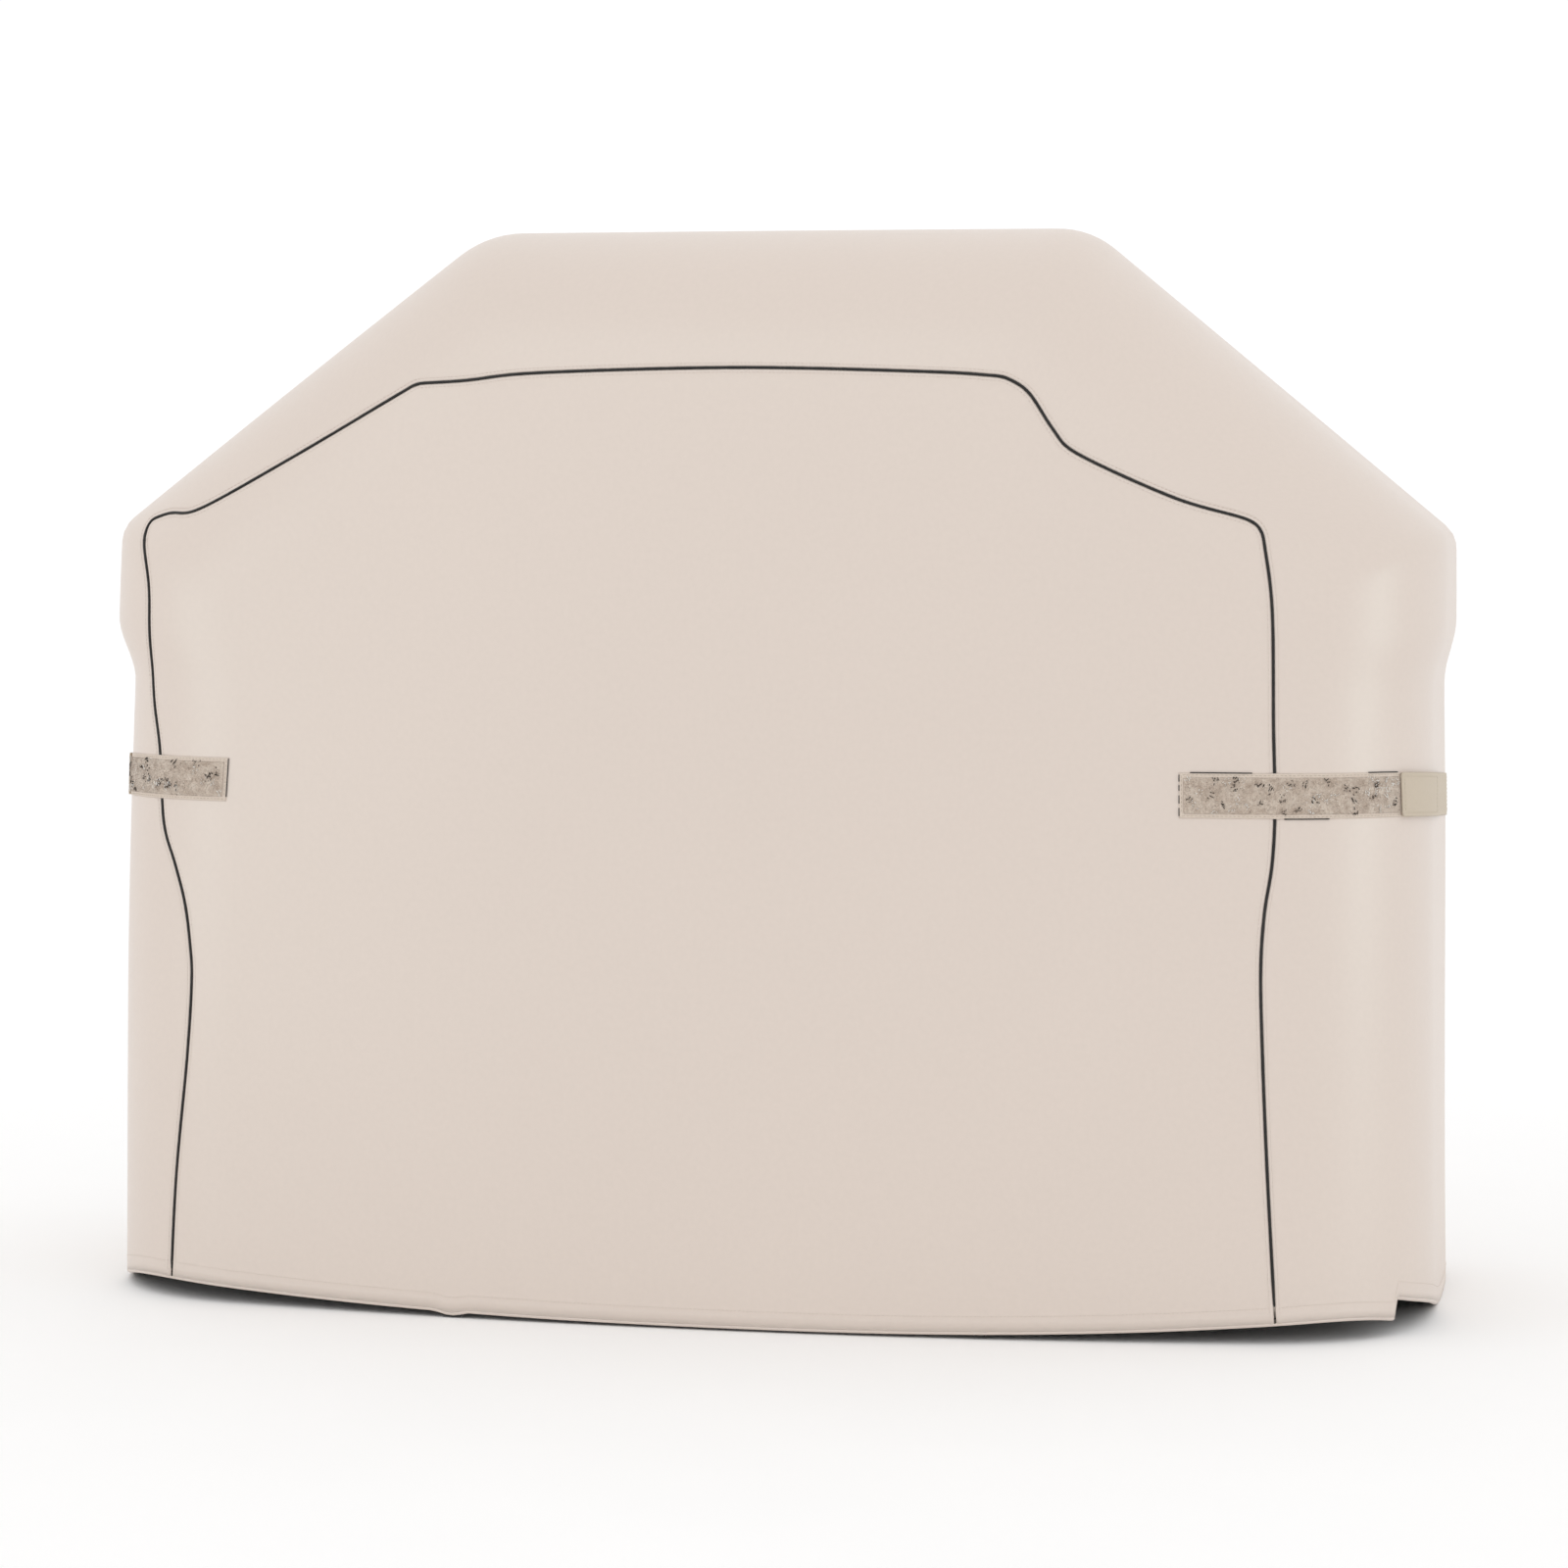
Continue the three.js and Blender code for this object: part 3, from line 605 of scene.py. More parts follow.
def cloth_material():
    """Coated 600 denier polyester: a fine plain weave, slightly uneven in tone, with a soft sheen."""
    m = Nodes("cover_cloth", roughness=0.36, specular=0.4)
    place = m.place()
    weave = weave_height(m, place, WEAVE_PITCH)
    slub = m.noise(place, 160, 3)
    cloud = m.noise(m.position(), 2.2, 2)
    tone = m.weighted((slub, 0.45), (cloud, 0.35), (weave, 0.2))
    m.colour(m.ramp(tone, [(0.2, shaded(CLOTH_COLOUR, 0.965)), (0.8, shaded(CLOTH_COLOUR, 1.03))]))
    rough = m.add("ShaderNodeMapRange")
    rough.inputs["To Min"].default_value, rough.inputs["To Max"].default_value = 0.32, 0.39
    m.link(m.noise(place, 60, 2), rough.inputs["Value"])
    m.roughness(rough.outputs["Result"])
    m.bump(m.weighted((weave, 1.0), (slub, 0.6)), 0.08 * MM, 0.3)
    return m.material


def coating_material():
    """The waterproof coating on the cloth's inner face: smooth, satin, with faint creases."""
    m = Nodes("inner_coating", roughness=0.45, specular=0.4)
    crease = m.noise(m.position(), 14, 4, 0.6)
    grain = m.noise(m.position(), 900, 2)
    tone = m.weighted((crease, 0.7), (grain, 0.3))
    m.colour(m.ramp(tone, [(0.3, linear(176, 168, 158)), (0.7, linear(196, 188, 178))]))
    m.bump(m.weighted((crease, 1.0), (grain, 0.15)), 0.8 * MM, 0.4)
    return m.material


def painted_shade_piping_material():
    """Near-black woven binding, twisted round its core. Its near-black is painted shade: the shadow line
    in the seam's groove.
    """
    m = Nodes("seam_piping", roughness=0.7, sheen=0.15, specular=0.25)
    threads = m.noise(m.position(), 1400, 2)
    worn = m.noise(m.position(), 30, 3)
    tone = m.weighted((threads, 0.6), (worn, 0.4))
    m.colour(m.ramp(tone, [(0.3, (0.006, 0.006, 0.006)), (0.72, (0.03, 0.027, 0.025))]))
    m.bump(threads, 0.3 * MM, 0.6)
    return m.material


def thread_material(name, dark, light):
    """Sewing thread with its twist."""
    return grained(name, dark, light, 2600, 1, (0.1 * MM, 0.5), roughness=0.55, sheen=0.1, specular=0.35)


WEBBING_COLOUR = linear(205, 191, 171)
BORDER_COLOUR = linear(222, 207, 193)


def webbing_material(name, colour):
    """Polyester webbing: ribs along its length, crossed by a fine weft."""
    m = Nodes(name, roughness=0.6, sheen=0.1, specular=0.3)
    place = m.place()
    weave = weave_height(m, place, 0.9 * MM)
    slub = m.noise(place, 300, 2)
    tone = m.weighted((weave, 0.5), (slub, 0.5))
    m.colour(m.ramp(tone, [(0.2, shaded(colour, 0.93)), (0.8, shaded(colour, 1.05))]))
    m.bump(weave, 0.25 * MM, 0.7)
    return m.material


# The pile's darkest tone is painted shade, in the gaps between its loops.
PILE_PAINTED_SHADE = linear(168, 149, 133)
PILE_MIDDLE = linear(202, 186, 171)
PILE_LIGHT = linear(224, 212, 198)


def pile_material():
    """Loop pile: mottled by how its loops lie, with caught specks; its dark tone, set where its relief
    is low, is painted shade in the gaps between loops.
    """
    m = Nodes("loop_pile", roughness=0.9, sheen=0.35, specular=0.15)
    mottle = m.noise(m.position(), 95, 3, 0.6)
    fine = m.noise(m.position(), 700, 3, 0.7)
    tone = m.weighted((mottle, 0.5), (fine, 0.5))
    m.colour(m.ramp(tone, [(0.34, PILE_PAINTED_SHADE), (0.5, PILE_MIDDLE), (0.66, PILE_LIGHT)]))
    m.bump(fine, 1.2 * MM, 0.9)
    return m.material


def fibre_material():
    """The pile's own loose loops, a little lighter than its ground."""
    m = Nodes("pile_fibres", roughness=0.8, sheen=0.3, specular=0.2)
    mottle = m.noise(m.position(), 120, 3, 0.6)
    m.colour(m.ramp(mottle, [(0.38, linear(182, 163, 147)), (0.62, linear(232, 221, 208))]))
    return m.material


MATERIALS = {
    "cloth": cloth_material(),
    "coating": coating_material(),
    # The piping's near-black is painted shade, the shadow line in the seam's groove.
    "piping": painted_shade_piping_material(),
    # Heat-sealed waterproof tape, glossy where it was pressed.
    "tape": grained("seam_tape", linear(120, 114, 107), linear(140, 133, 125), 260, 3, (0.2 * MM, 0.5),
                    roughness=0.35, specular=0.5),
    "thread": thread_material("cloth_thread", shaded(CLOTH_COLOUR, 0.9), shaded(CLOTH_COLOUR, 1.06)),
    "strap_thread": thread_material("strap_thread", shaded(WEBBING_COLOUR, 0.8), WEBBING_COLOUR),
    # Near-black thread for the patch's edges: painted shadow under the patch's raised edge.
    "edge_shadow_thread": thread_material("edge_shadow_thread", (0.008, 0.007, 0.006), (0.035, 0.03, 0.026)),
    "webbing": webbing_material("webbing", WEBBING_COLOUR),
    "pile": pile_material(),
    "fibre": fibre_material(),
    "speck": grained("pile_specks", (0.01, 0.009, 0.008), (0.05, 0.04, 0.032), 500,
                     roughness=0.9, specular=0.1),
    "lint": grained("pile_lint", (0.82, 0.78, 0.72), (0.93, 0.9, 0.86), 500,
                    roughness=0.9, specular=0.1),
    "border": webbing_material("patch_border", BORDER_COLOUR),
    # Moulded nylon hooks on their woven ground.
    "hook": grained("hook_tape", linear(168, 156, 138), linear(190, 178, 160), 800, 2, (0.2 * MM, 0.5),
                    roughness=0.45, specular=0.45),
    # The braided black cover of the elastic cord.
    "elastic": grained("elastic_cord", (0.008, 0.008, 0.008), (0.035, 0.033, 0.03), 1600, 2,
                       (0.2 * MM, 0.6), roughness=0.6, sheen=0.1, specular=0.3),
    "floor": grained("floor", [0.975] * 3, [0.985] * 3, 3, roughness=0.8, specular=0.1),
}


def finish_piece(obj, slot, *materials, body="cover", node=None):
    """Gives a piece its materials, the body it rides on and the node it replaces; slot is not used."""
    for name in materials:
        obj.data.materials.append(MATERIALS[name])
    if body:
        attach(obj, body)
    if node:
        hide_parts(node)


# ---- the three cloth panels ----
CELL = 9 * MM
SEAM_ROLL = 7 * MM  # the cloth's edge rises this near the seam, then turns down into it
ROLL_RISE = 0.7 * MM
EDGE_INWARD = 1.0 * MM


def seam_roll(distance):
    """How the cloth lies near its seam: a small roll, then down under the piping."""
    roll = ROLL_RISE * np.exp(-(((distance - 0.45 * SEAM_ROLL) / (0.4 * SEAM_ROLL)) ** 2))
    dip = -1.0 * MM * np.clip(1 - (distance - EDGE_INWARD) / (2 * MM), 0, 1)
    return roll + dip


NEAR_SEAM = np.array([0, 0.9, 1.9, 3.2, 5.0]) * MM  # columns beside a seam
EVEN_FROM = 7.5 * MM


def crowd_to_edges(count, length):
    """Shares from 0 to 1, fine near both ends for the seam roll, even between."""
    near = NEAR_SEAM / length
    even = np.linspace(EVEN_FROM / length, 1 - EVEN_FROM / length, count)
    return np.concatenate([near, even, 1 - near[::-1]])


def coons(bottom, top, left, right, u, v):
    """Blends four sides into a grid: bottom and top run along u, left and right along v."""
    u = u[None, :, None]
    v = v[:, None, None]
    sides = (1 - v) * bottom[None] + v * top[None] + (1 - u) * left[:, None] + u * right[:, None]
    low = (1 - u) * (1 - v) * left[0] + u * (1 - v) * right[0]
    return sides - (low + (1 - u) * v * left[-1] + u * v * right[-1])


def nearest_distance(points, line):
    """The distance of each point from a dense line, in the plane of the face."""
    flat = points.reshape(-1, 2)
    best = np.full(len(flat), 1.0)
    for start in range(0, len(flat), 4000):
        chunk = flat[start : start + 4000]
        best[start : start + 4000] = np.min(
            np.linalg.norm(chunk[:, None] - line[None], axis=2), axis=1
        )
    return best.reshape(points.shape[:-1])


def panel_rows(which):
    """A front or rear panel as a grid of points in space, with each point's distance from the seam."""
    side, line = SEAMS[which]
    stretches = seam_stretches(which)
    left_count, right_count = len(stretches[0]), len(stretches[4])
    full = offset_line(line, EDGE_INWARD)
    left = full[:left_count]
    top = full[left_count - 1 : len(full) - right_count + 1]
    right = full[len(full) - right_count :][::-1]
    width = np.ptp(full[:, 0])
    height = np.ptp(left[:, 1])
    u = crowd_to_edges(int(width / CELL), width)
    v = np.concatenate([[0], np.linspace(0, 1, int(height / CELL))[1:-1]])
    v = np.concatenate([v, 1 - np.array([6.0, 4.2, 2.8, 1.7, 0.8, 0]) * MM / height])
    v = np.unique(np.clip(v, 0, 1))
    left, right = (at_lengths(edge, v * length_along(edge)[-1]) for edge in (left, right))
    top_x = top[0, 0] + u * (top[-1, 0] - top[0, 0])
    top_grid = np.stack([top_x, np.interp(top_x, top[:, 0], top[:, 1])], axis=1)
    bottom_x = left[0, 0] + u * (right[0, 0] - left[0, 0])
    bottom_y = face_points(bottom_x, np.full_like(bottom_x, 20 * MM), side)[:, 1]
    bottom = np.stack([bottom_x, hem_height(bottom_x, bottom_y) + HEM_TURN], axis=1)
    left[0, 1], right[0, 1] = bottom[0, 1], bottom[-1, 1]
    flat = coons(bottom, top_grid, left, right, u, v)
    distance = nearest_distance(flat, line)
    return face_points(flat[..., 0], flat[..., 1], side), distance


def cloth_panel(name, node, points, distance, place, **facts):
    """Lays a panel's cloth over its grid of points, rolled along the seam."""
    obj = grid_object(name, lifted(points, seam_roll(distance)), place)
    finish_piece(obj, "cloth", "cloth", "coating", node=node)
    thicken(obj, CLOTH, 1)
    return points


def panel(which, flat, area):
    points, distance = panel_rows(which)
    place = np.stack([points[..., 0], points[..., 2]], axis=-1)
    return cloth_panel(f"{which}_cloth", f"{which}_panel", points, distance, place,
                       flat=flat, area=area, rests_on="side_and_top_cloth")


# ---- the strip over both sides and the top ----
STRIP_DEPTH = 450 * MM
STATION = 9 * MM


def strip_outline(count):
    """The middle of the strip at each station: up the side, along the slope, over the top."""
    side, slope, top = count
    turns = [
        (-HALF_WIDTH, 0, 0),
        (-HALF_WIDTH, 0, SHOULDER["left"]),
        (-TOP_HALF_WIDTH["left"], 0, HEIGHT),
        (TOP_HALF_WIDTH["right"], 0, HEIGHT),
        (HALF_WIDTH, 0, SHOULDER["right"]),
        (HALF_WIDTH, 0, 0),
    ]
    runs = zip(turns, turns[1:], (side, slope, top, slope, side))
    return np.vstack([turns[:1], *[np.linspace(a, b, n + 1)[1:] for a, b, n in runs]])


SLOPE_LENGTH = 515 * MM
TOP_LENGTH = 676 * MM
STRIP_WIDTH = 660 * MM  # about, from seam to seam
# Columns across the strip: finer round the front corner, where the straps and the hem's step are.
STRIP_CELLS = [(0, 110, 8), (110, 200, 3), (200, 660, 12)]  # from, to, spacing, in mm


def strip_shares():
    runs = [np.arange(a, b, cell) for a, b, cell in STRIP_CELLS]
    inner = np.concatenate(runs) * MM
    inner = inner[(inner > EVEN_FROM) & (inner < STRIP_WIDTH - EVEN_FROM)]
    return np.concatenate([NEAR_SEAM, inner, STRIP_WIDTH - NEAR_SEAM[::-1]]) / STRIP_WIDTH


LEVEL_ABOVE = 130 * MM  # the rows of the side strip follow the hem below this height


def on_hem(points, centre):
    """The rows of one side, the lowest first, moved so that the lowest lies on the hem's fold."""
    natural = points[0, :, 2]
    wanted = hem_height(points[0, :, 0], points[0, :, 1]) + HEM_TURN
    share = (LEVEL_ABOVE - wanted) / (LEVEL_ABOVE - natural)
    low = points[..., 2] < LEVEL_ABOVE
    level = points.copy()
    level[..., 2] = np.where(low, LEVEL_ABOVE - (LEVEL_ABOVE - points[..., 2]) * share, points[..., 2])
    inner = np.zeros_like(level)
    inner[..., 0] = centre[:, :1]
    inner[..., 2] = level[..., 2]
    return np.where(low[..., None], on_skin(inner, level), points)


def strip_rows():
    count = (int(SHOULDER["left"] / STATION), int(SLOPE_LENGTH / STATION), int(TOP_LENGTH / STATION))
    side, slope, top = count
    ends = []
    for which in ("front", "rear"):
        parts = seam_stretches(which)
        runs = [resampled(part, n + 1) for part, n in zip(parts, (side, slope, top, slope, side))]
        line = np.vstack([runs[0], *[run[1:] for run in runs[1:]]])
        ends.append(seam_points(line, SEAMS[which][0], -EDGE_INWARD))
    a, b = ends
    outline = strip_outline(count)
    middle = (a + b) / 2
    centre = middle + unit(middle - outline) * STRIP_DEPTH
    shares = strip_shares()
    through = a[:, None] + (b - a)[:, None] * shares[None, :, None]
    start = np.broadcast_to(centre[:, None], through.shape)
    points = on_skin(start, through)
    points[:, 0], points[:, -1] = a, b
    points[: side + 1] = on_hem(points[: side + 1], centre[: side + 1])
    points[-side - 1 :] = on_hem(points[-side - 1 :][::-1], centre[-side - 1 :][::-1])[::-1]
    distance = np.minimum(
        np.linalg.norm(points - points[:, :1], axis=2),
        np.linalg.norm(points - points[:, -1:], axis=2),
    ) + EDGE_INWARD
    return points, distance


def strip_panel():
    points, distance = strip_rows()
    middle = points.shape[1] // 2
    across = np.cumsum(np.linalg.norm(np.diff(points, axis=1, prepend=points[:, :1]), axis=2), axis=1)
    centred = across - across[:, middle][:, None]
    along = np.repeat(length_along(points[:, middle])[:, None], points.shape[1], axis=1)
    place = np.stack([centred, along], axis=-1)
    return cloth_panel("side_and_top_cloth", "side_and_top_panel", points, distance, place,
                       flat=(0.78, 3.45), area=2.05, rests_on=("front_cloth", "rear_cloth"))


front_points = panel("front", (1.36, 1.08), 1.22)
rear_points = panel("rear", (1.36, 1.13), 1.40)
strip_points = strip_panel()


# ---- seams: piping painted near-black as the groove's shade, stitches, and the waterproof tape inside ----
PIPING_RADIUS = 1.5 * MM
PIPING_WAVES = [
    ((1.0, 0.2, 0.9), 0.031, 0.3), ((0.7, 0.3, -1.0), 0.011, 1.7), ((0.2, 1.0, 0.6), 0.071, 4.2),
]


def seam_with_hem_ends(which, inward, step):
    """A seam's line in space, from hem to hem."""
    side, line = SEAMS[which]
    return seam_points(spaced(line, step), side, inward)


# How far over the hem each end of a piping stops, and from where it thins out towards its end.
PIPING_ENDS = {"front": ((12, 22), (20, 48)), "rear": ((12, 22), (12, 22))}


# A near-black cord along the seam: painted shade, standing in for the shadow line in its groove.
def piping(which):
    points = seam_with_hem_ends(which, 0, 3 * MM)
    over_hem = points[:, 2] - hem_height(points[:, 0], points[:, 1])
    ends = np.where(points[:, :1] < 0, *PIPING_ENDS[which]) * MM
    keep = over_hem > ends[:, 0]
    points, over_hem, ends = points[keep], over_hem[keep], ends[keep]
    thinned = 0.45 + 0.55 * fade(over_hem, ends[:, 0], ends[:, 1])
    uneven = 1 + 0.09 * ripple(points, PIPING_WAVES)
    radius = PIPING_RADIUS * thinned * uneven
    obj = tube_object(f"{which}_piping", lifted(points, 0.1 * MM), radius, 10)
    finish_piece(obj, "seam", "piping", node=f"{which}_seam_piping")


STITCH_LENGTH = 3.4 * MM
STITCH_GAP = 1.0 * MM
THREAD_RADIUS = 0.28 * MM
STITCH_RINGS = np.array([  # share of the length, share of the radius, rise in mm
    (-0.5, 0.35, -0.15), (-0.25, 1.0, 0.2), (0.25, 1.0, 0.2), (0.5, 0.35, -0.15),
])


def stitches(name, lines, material, slot, body="cover"):
    """Rows of sewn stitches along lines on the cloth: each dips into the cloth at its ends."""
    shares, sizes, rise = STITCH_RINGS.T
    pitch = STITCH_LENGTH + STITCH_GAP
    spines = []
    for line in lines:
        length = length_along(line)[-1]
        centres = (np.arange(int(length / pitch)) + 0.5) * pitch
        at = np.clip(centres[:, None] + shares * STITCH_LENGTH, 0, length)
        spines.append(at_lengths(line, at.ravel()).reshape(*at.shape, 3))
    spines = np.vstack(spines)
    out = normals(spines)
    spines = spines + out * (rise * MM)[:, None]
    along = np.broadcast_to(unit(spines[:, -1:] - spines[:, :1]), spines.shape)
    radius = (sizes * THREAD_RADIUS)[:, None, None]
    obj = short_tubes(name, rings_round(spines, out, unit(np.cross(along, out)), 4, radius))
    finish_piece(obj, slot, material, body=body)


TOPSTITCH = 5 * MM
TAPE_HALF = 12 * MM
TAPE_FOOT = 50 * MM


def seam_stitching(which):
    lines = []
    for inward in (-TOPSTITCH, TOPSTITCH):
        points = seam_with_hem_ends(which, inward, 3 * MM)
        lowest = hem_height(points[:, 0], points[:, 1]) + 8 * MM
        lines.append(lifted(points[points[:, 2] > lowest], seam_roll(TOPSTITCH)))
    stitches(f"{which}_seam_stitching", lines, "thread", "cloth")


def seam_tape(which):
    """Waterproof tape pressed over the seam inside."""
    side, line = SEAMS[which]
    offsets = np.array([-1, -0.92, -0.3, 0, 0.3, 0.92, 1]) * TAPE_HALF
    depth = np.array([1.0, 1.35, 1.35, 1.6, 1.35, 1.35, 1.0]) * MM + CLOTH
    dense = spaced(line, 6 * MM)
    dense = dense[dense[:, 1] > TAPE_FOOT]
    rows = [lifted(seam_points(dense, side, offset), -down) for offset, down in zip(offsets, depth)]
    grid = np.stack(rows, axis=1)
    obj = grid_object(f"{which}_tape", grid, outward=-normals(grid[0, 0]))
    finish_piece(obj, "seam_tape", "tape", node=f"{which}_seam_tape")
    thicken(obj, 0.35 * MM, offset=1)


for which in ("front", "rear"):
    piping(which)
    seam_stitching(which)
    seam_tape(which)


# ---- the folded hem and its elastic cord ----
def hem_line():
    """The foot of the cloth all the way round, at the panels' lower edges."""
    return np.vstack([front_points[0], strip_points[-1], rear_points[0][::-1], strip_points[0][::-1]])


def hem_profile():
    """The fold's section as depth and height: down the outside, round, up the inside to its seam."""
    angle = np.linspace(0, math.pi, 9)
    turn = np.stack([HEM_TURN * (1 - np.cos(angle)), HEM_TURN * (1 - np.sin(angle))], axis=1)
    inner = [(6.9, 7), (6.4, 11), (4.6, 15), (2.9, 18), (2.4, 20.5), (2.5, 23), (3.1, 23.6)]
    return np.vstack([turn, np.array(inner) * MM])


def hem():
    line = hem_line()
    out = unit(normals(line) * np.array([1, 1, 0]))
    foot = hem_height(line[:, 0], line[:, 1])
    base = line + normals(line) * drape(line)[:, None]
    profile = hem_profile()
    rings = base[None] - out[None] * profile[:, 0][:, None, None]
    rings[..., 2] = foot[None] + profile[:, 1][:, None]
    along = length_along(line)
    place = np.stack(np.broadcast_arrays(along[None], profile[:, 1][:, None]), axis=-1)
    obj = grid_object("hem", rings, place, closed=True, outward=out[0])
    finish_piece(obj, "cloth", "cloth", "coating", node="hem_band")
    thicken(obj, CLOTH, 1)
    return base, out, foot


hem_base, hem_out, hem_foot = hem()

CORD_DEPTH = 3.5 * MM
CORD_HEIGHT = 8 * MM
HEM_STITCH_HEIGHT = 20 * MM


def hem_cord():
    """The elastic: a ring inside the fold, but for two loops that hang under it."""
    height = hem_foot + CORD_HEIGHT
    for middle, half, _ in CORD_LOOPS:
        under = (np.abs(hem_base[:, 0] - middle) < half) & (hem_base[:, 1] < 0)
        height = np.where(under, hem_foot - CORD_RADIUS, height)
    path = hem_base - hem_out * CORD_DEPTH
    path[:, 2] = height
    apart = np.linalg.norm(np.diff(path, axis=0), axis=1) > 1.2 * MM
    keep = np.concatenate([[True], apart])
    obj = tube_object("hem_cord", path[keep], CORD_RADIUS, 8, closed=True, across=hem_out[keep])
    finish_piece(obj, "elastic", "elastic", node="hem_elastic_cord")


def hem_stitching():
    line = hem_base.copy()
    line[:, 2] = hem_foot + HEM_STITCH_HEIGHT
    centre = line * np.array([0.5, 0, 1])
    line = on_skin(centre, line)
    stitches("hem_stitching", [lifted(line, 0)], "thread", "cloth")


hem_cord()
hem_stitching()


# ---- closing straps ----
BELT_CENTRE = 430 * MM
PATCH_FRONT_X = {"left": 558 * MM, "right": 480 * MM}
PATCH_REAR_Y = -20 * MM
STRAP_TIP_X = {"left": 711 * MM, "right": 700 * MM}
STRAP_ROOT_Y = 150 * MM
ROOT_LENGTH = 60 * MM
HOOK_LENGTH = 115 * MM
PILE_BORDER = 4.5 * MM  # of backing, seen round the pile

BACKING_TOP = 1.1 * MM
BACKING_THICK = 0.8 * MM
PILE_TOP = 2.3 * MM
STRAP_TOP = 4.6 * MM
STRAP_THICK = 1.2 * MM
ROOT_TOP = 1.5 * MM
STRAP_FALL = 70 * MM  # the strap comes down to the cloth over this length behind the patch


class Belt:
    """Places on the cloth round one side: along the strap's line, and up or down from it."""

    def __init__(self, side):
        self.side = side
        self.sign = -1 if side == "left" else 1
        angle = np.linspace(-math.pi / 2, math.pi / 2, 1200)
        ray = np.stack([self.sign * np.cos(angle), np.sin(angle), 0 * angle], axis=1)
        centre = np.array([self.sign * BELT_CENTRE, 0, STRAP_Z])
        self.line = on_skin(np.broadcast_to(centre, ray.shape), centre + ray)
        self.along = length_along(self.line)
        seam = seam_with_hem_ends("front", 0, 3 * MM)
        seam = seam[seam[:, 0] * self.sign > 0]
        self.seam = seam[np.argmin(np.abs(seam[:, 2] - STRAP_Z))]
        self.patch_start = self.at_width(PATCH_FRONT_X[side])
        self.patch_end = self.at_depth(PATCH_REAR_Y)
        self.tip = self.at_width(STRAP_TIP_X[side])
        self.root = self.at_depth(STRAP_ROOT_Y)
        self.root_end = self.at_depth(STRAP_ROOT_Y + ROOT_LENGTH)

    def at_width(self, x):
        return self.along[np.argmax(np.abs(self.line[:, 0]) > x)]

    def at_depth(self, y):
        return self.along[np.argmax(self.line[:, 1] > y)]

    def on_cloth(self, along, up, height=0.0):
        """Points at a height off the cloth."""
        along, up, height = np.broadcast_arrays(along, up, height)
        x, y = (np.interp(along, self.along, self.line[:, k]) for k in (0, 1))
        behind = y - STRAP_DIP_FROM
        z = STRAP_Z + up - STRAP_DIP * (behind + np.hypot(behind, STRAP_DIP_EASE)) / 2
        start = np.stack([np.full(z.shape, self.sign * BELT_CENTRE), np.zeros(z.shape), z], axis=-1)
        return lifted(on_skin(start, np.stack([x, y, z], axis=-1)), height)

    def over_piping(self, along):
        """How much the patch is lifted where it crosses the seam's piping."""
        x, y = (np.interp(along, self.along, self.line[:, k]) for k in (0, 1))
        apart = np.hypot(x - self.seam[0], y - self.seam[1])
        return 1.7 * MM * np.exp(-((apart / (5.5 * MM)) ** 2))

    def patch_top(self, along, up):
        edge = 0.35 * MM * np.clip(1 - (STRAP_HALF - np.abs(up)) / (2.5 * MM), 0, 1)
        return BACKING_TOP - edge + self.over_piping(along)

    def strap_top(self, along, up):
        """The strap's outer face, the same all across."""
        down = fade(along, self.patch_end, self.patch_end + STRAP_FALL)
        return STRAP_TOP + (ROOT_TOP - STRAP_TOP) * down


def band(belt, name, start, end, half, top, step=2.0 * MM, rounded=0.0):
    """A strip of tape on the belt line. rounded is the radius of its corners at the front end."""
    along = np.linspace(start, end, max(3, int((end - start) / step)))
    up = np.linspace(-1, 1, 25)
    ends = np.clip((along - start) / rounded, 0, 1) if rounded else np.ones(len(along))
    width = half - rounded * (1 - np.sqrt(1 - (1 - ends) ** 2))
    up = up[None] * width[:, None]
    along = np.broadcast_to(along[:, None], up.shape)
    rows = belt.on_cloth(along, up, top(along, up))
    return grid_object(name, rows, np.stack([up, along], axis=-1))


def patch_backing(belt):
    start, end = belt.patch_start, belt.patch_end
    obj = band(belt, f"{belt.side}_patch", start, end, STRAP_HALF, belt.patch_top)
    finish_piece(obj, "webbing", "border", node=f"{belt.side}_patch_backing")
    thicken(obj, BACKING_THICK)


PILE_WAVES = [
    ((1.0, 0.9, 0.6), 0.0131, 0.7), ((-0.8, 0.7, 1.0), 0.0077, 2.9),
    ((0.5, -1.0, 0.9), 0.0049, 1.1), ((1.0, 0.4, -1.0), 0.0187, 5.0),
]


def pile_bed(belt):
    """The ground of the loop tape, lumpy where its loops were pulled or pressed."""
    start, end = belt.patch_start + PILE_BORDER, belt.patch_end - PILE_BORDER

    def top(along, up):
        lumps = ripple(belt.on_cloth(along, up), PILE_WAVES)
        edge = np.clip((STRAP_HALF - PILE_BORDER - np.abs(up)) / (1.5 * MM), 0, 1)
        thick = (PILE_TOP - BACKING_TOP) * (0.4 + 0.6 * edge)
        return belt.patch_top(along, 0 * up) + thick + 0.35 * MM * lumps

    half = STRAP_HALF - PILE_BORDER
    obj = band(belt, f"{belt.side}_loop_pile", start, end, half, top, step=1.3 * MM)
    finish_piece(obj, "loop_pile", "pile", node=f"{belt.side}_loop_tape")
    thicken(obj, 0.9 * MM)
    return start, end, half, top


def strands(name, spines, radius):
    """Many short three-sided strands, each along its own few points."""
    along = unit(np.gradient(spines, axis=1))
    side = unit(np.cross(along, normals(spines) + 0.05))
    return short_tubes(name, rings_round(spines, side, np.cross(side, along), 3, radius))


LOOPS_PER_MM2 = 0.85
TUFT_PITCH = 9 * MM
TUFT_STRANDS = 8
STRAND = np.array([-0.5, 0.0, 0.5])  # the three points of a strand, as shares of its length


def strand_places(along, up, turn, reach):
    """Places along and across the tape of the points of strands, each turned its own way."""
    return (
        along[:, None] + (np.cos(turn) * reach)[:, None] * STRAND,
        up[:, None] + (np.sin(turn) * reach)[:, None] * STRAND,
    )


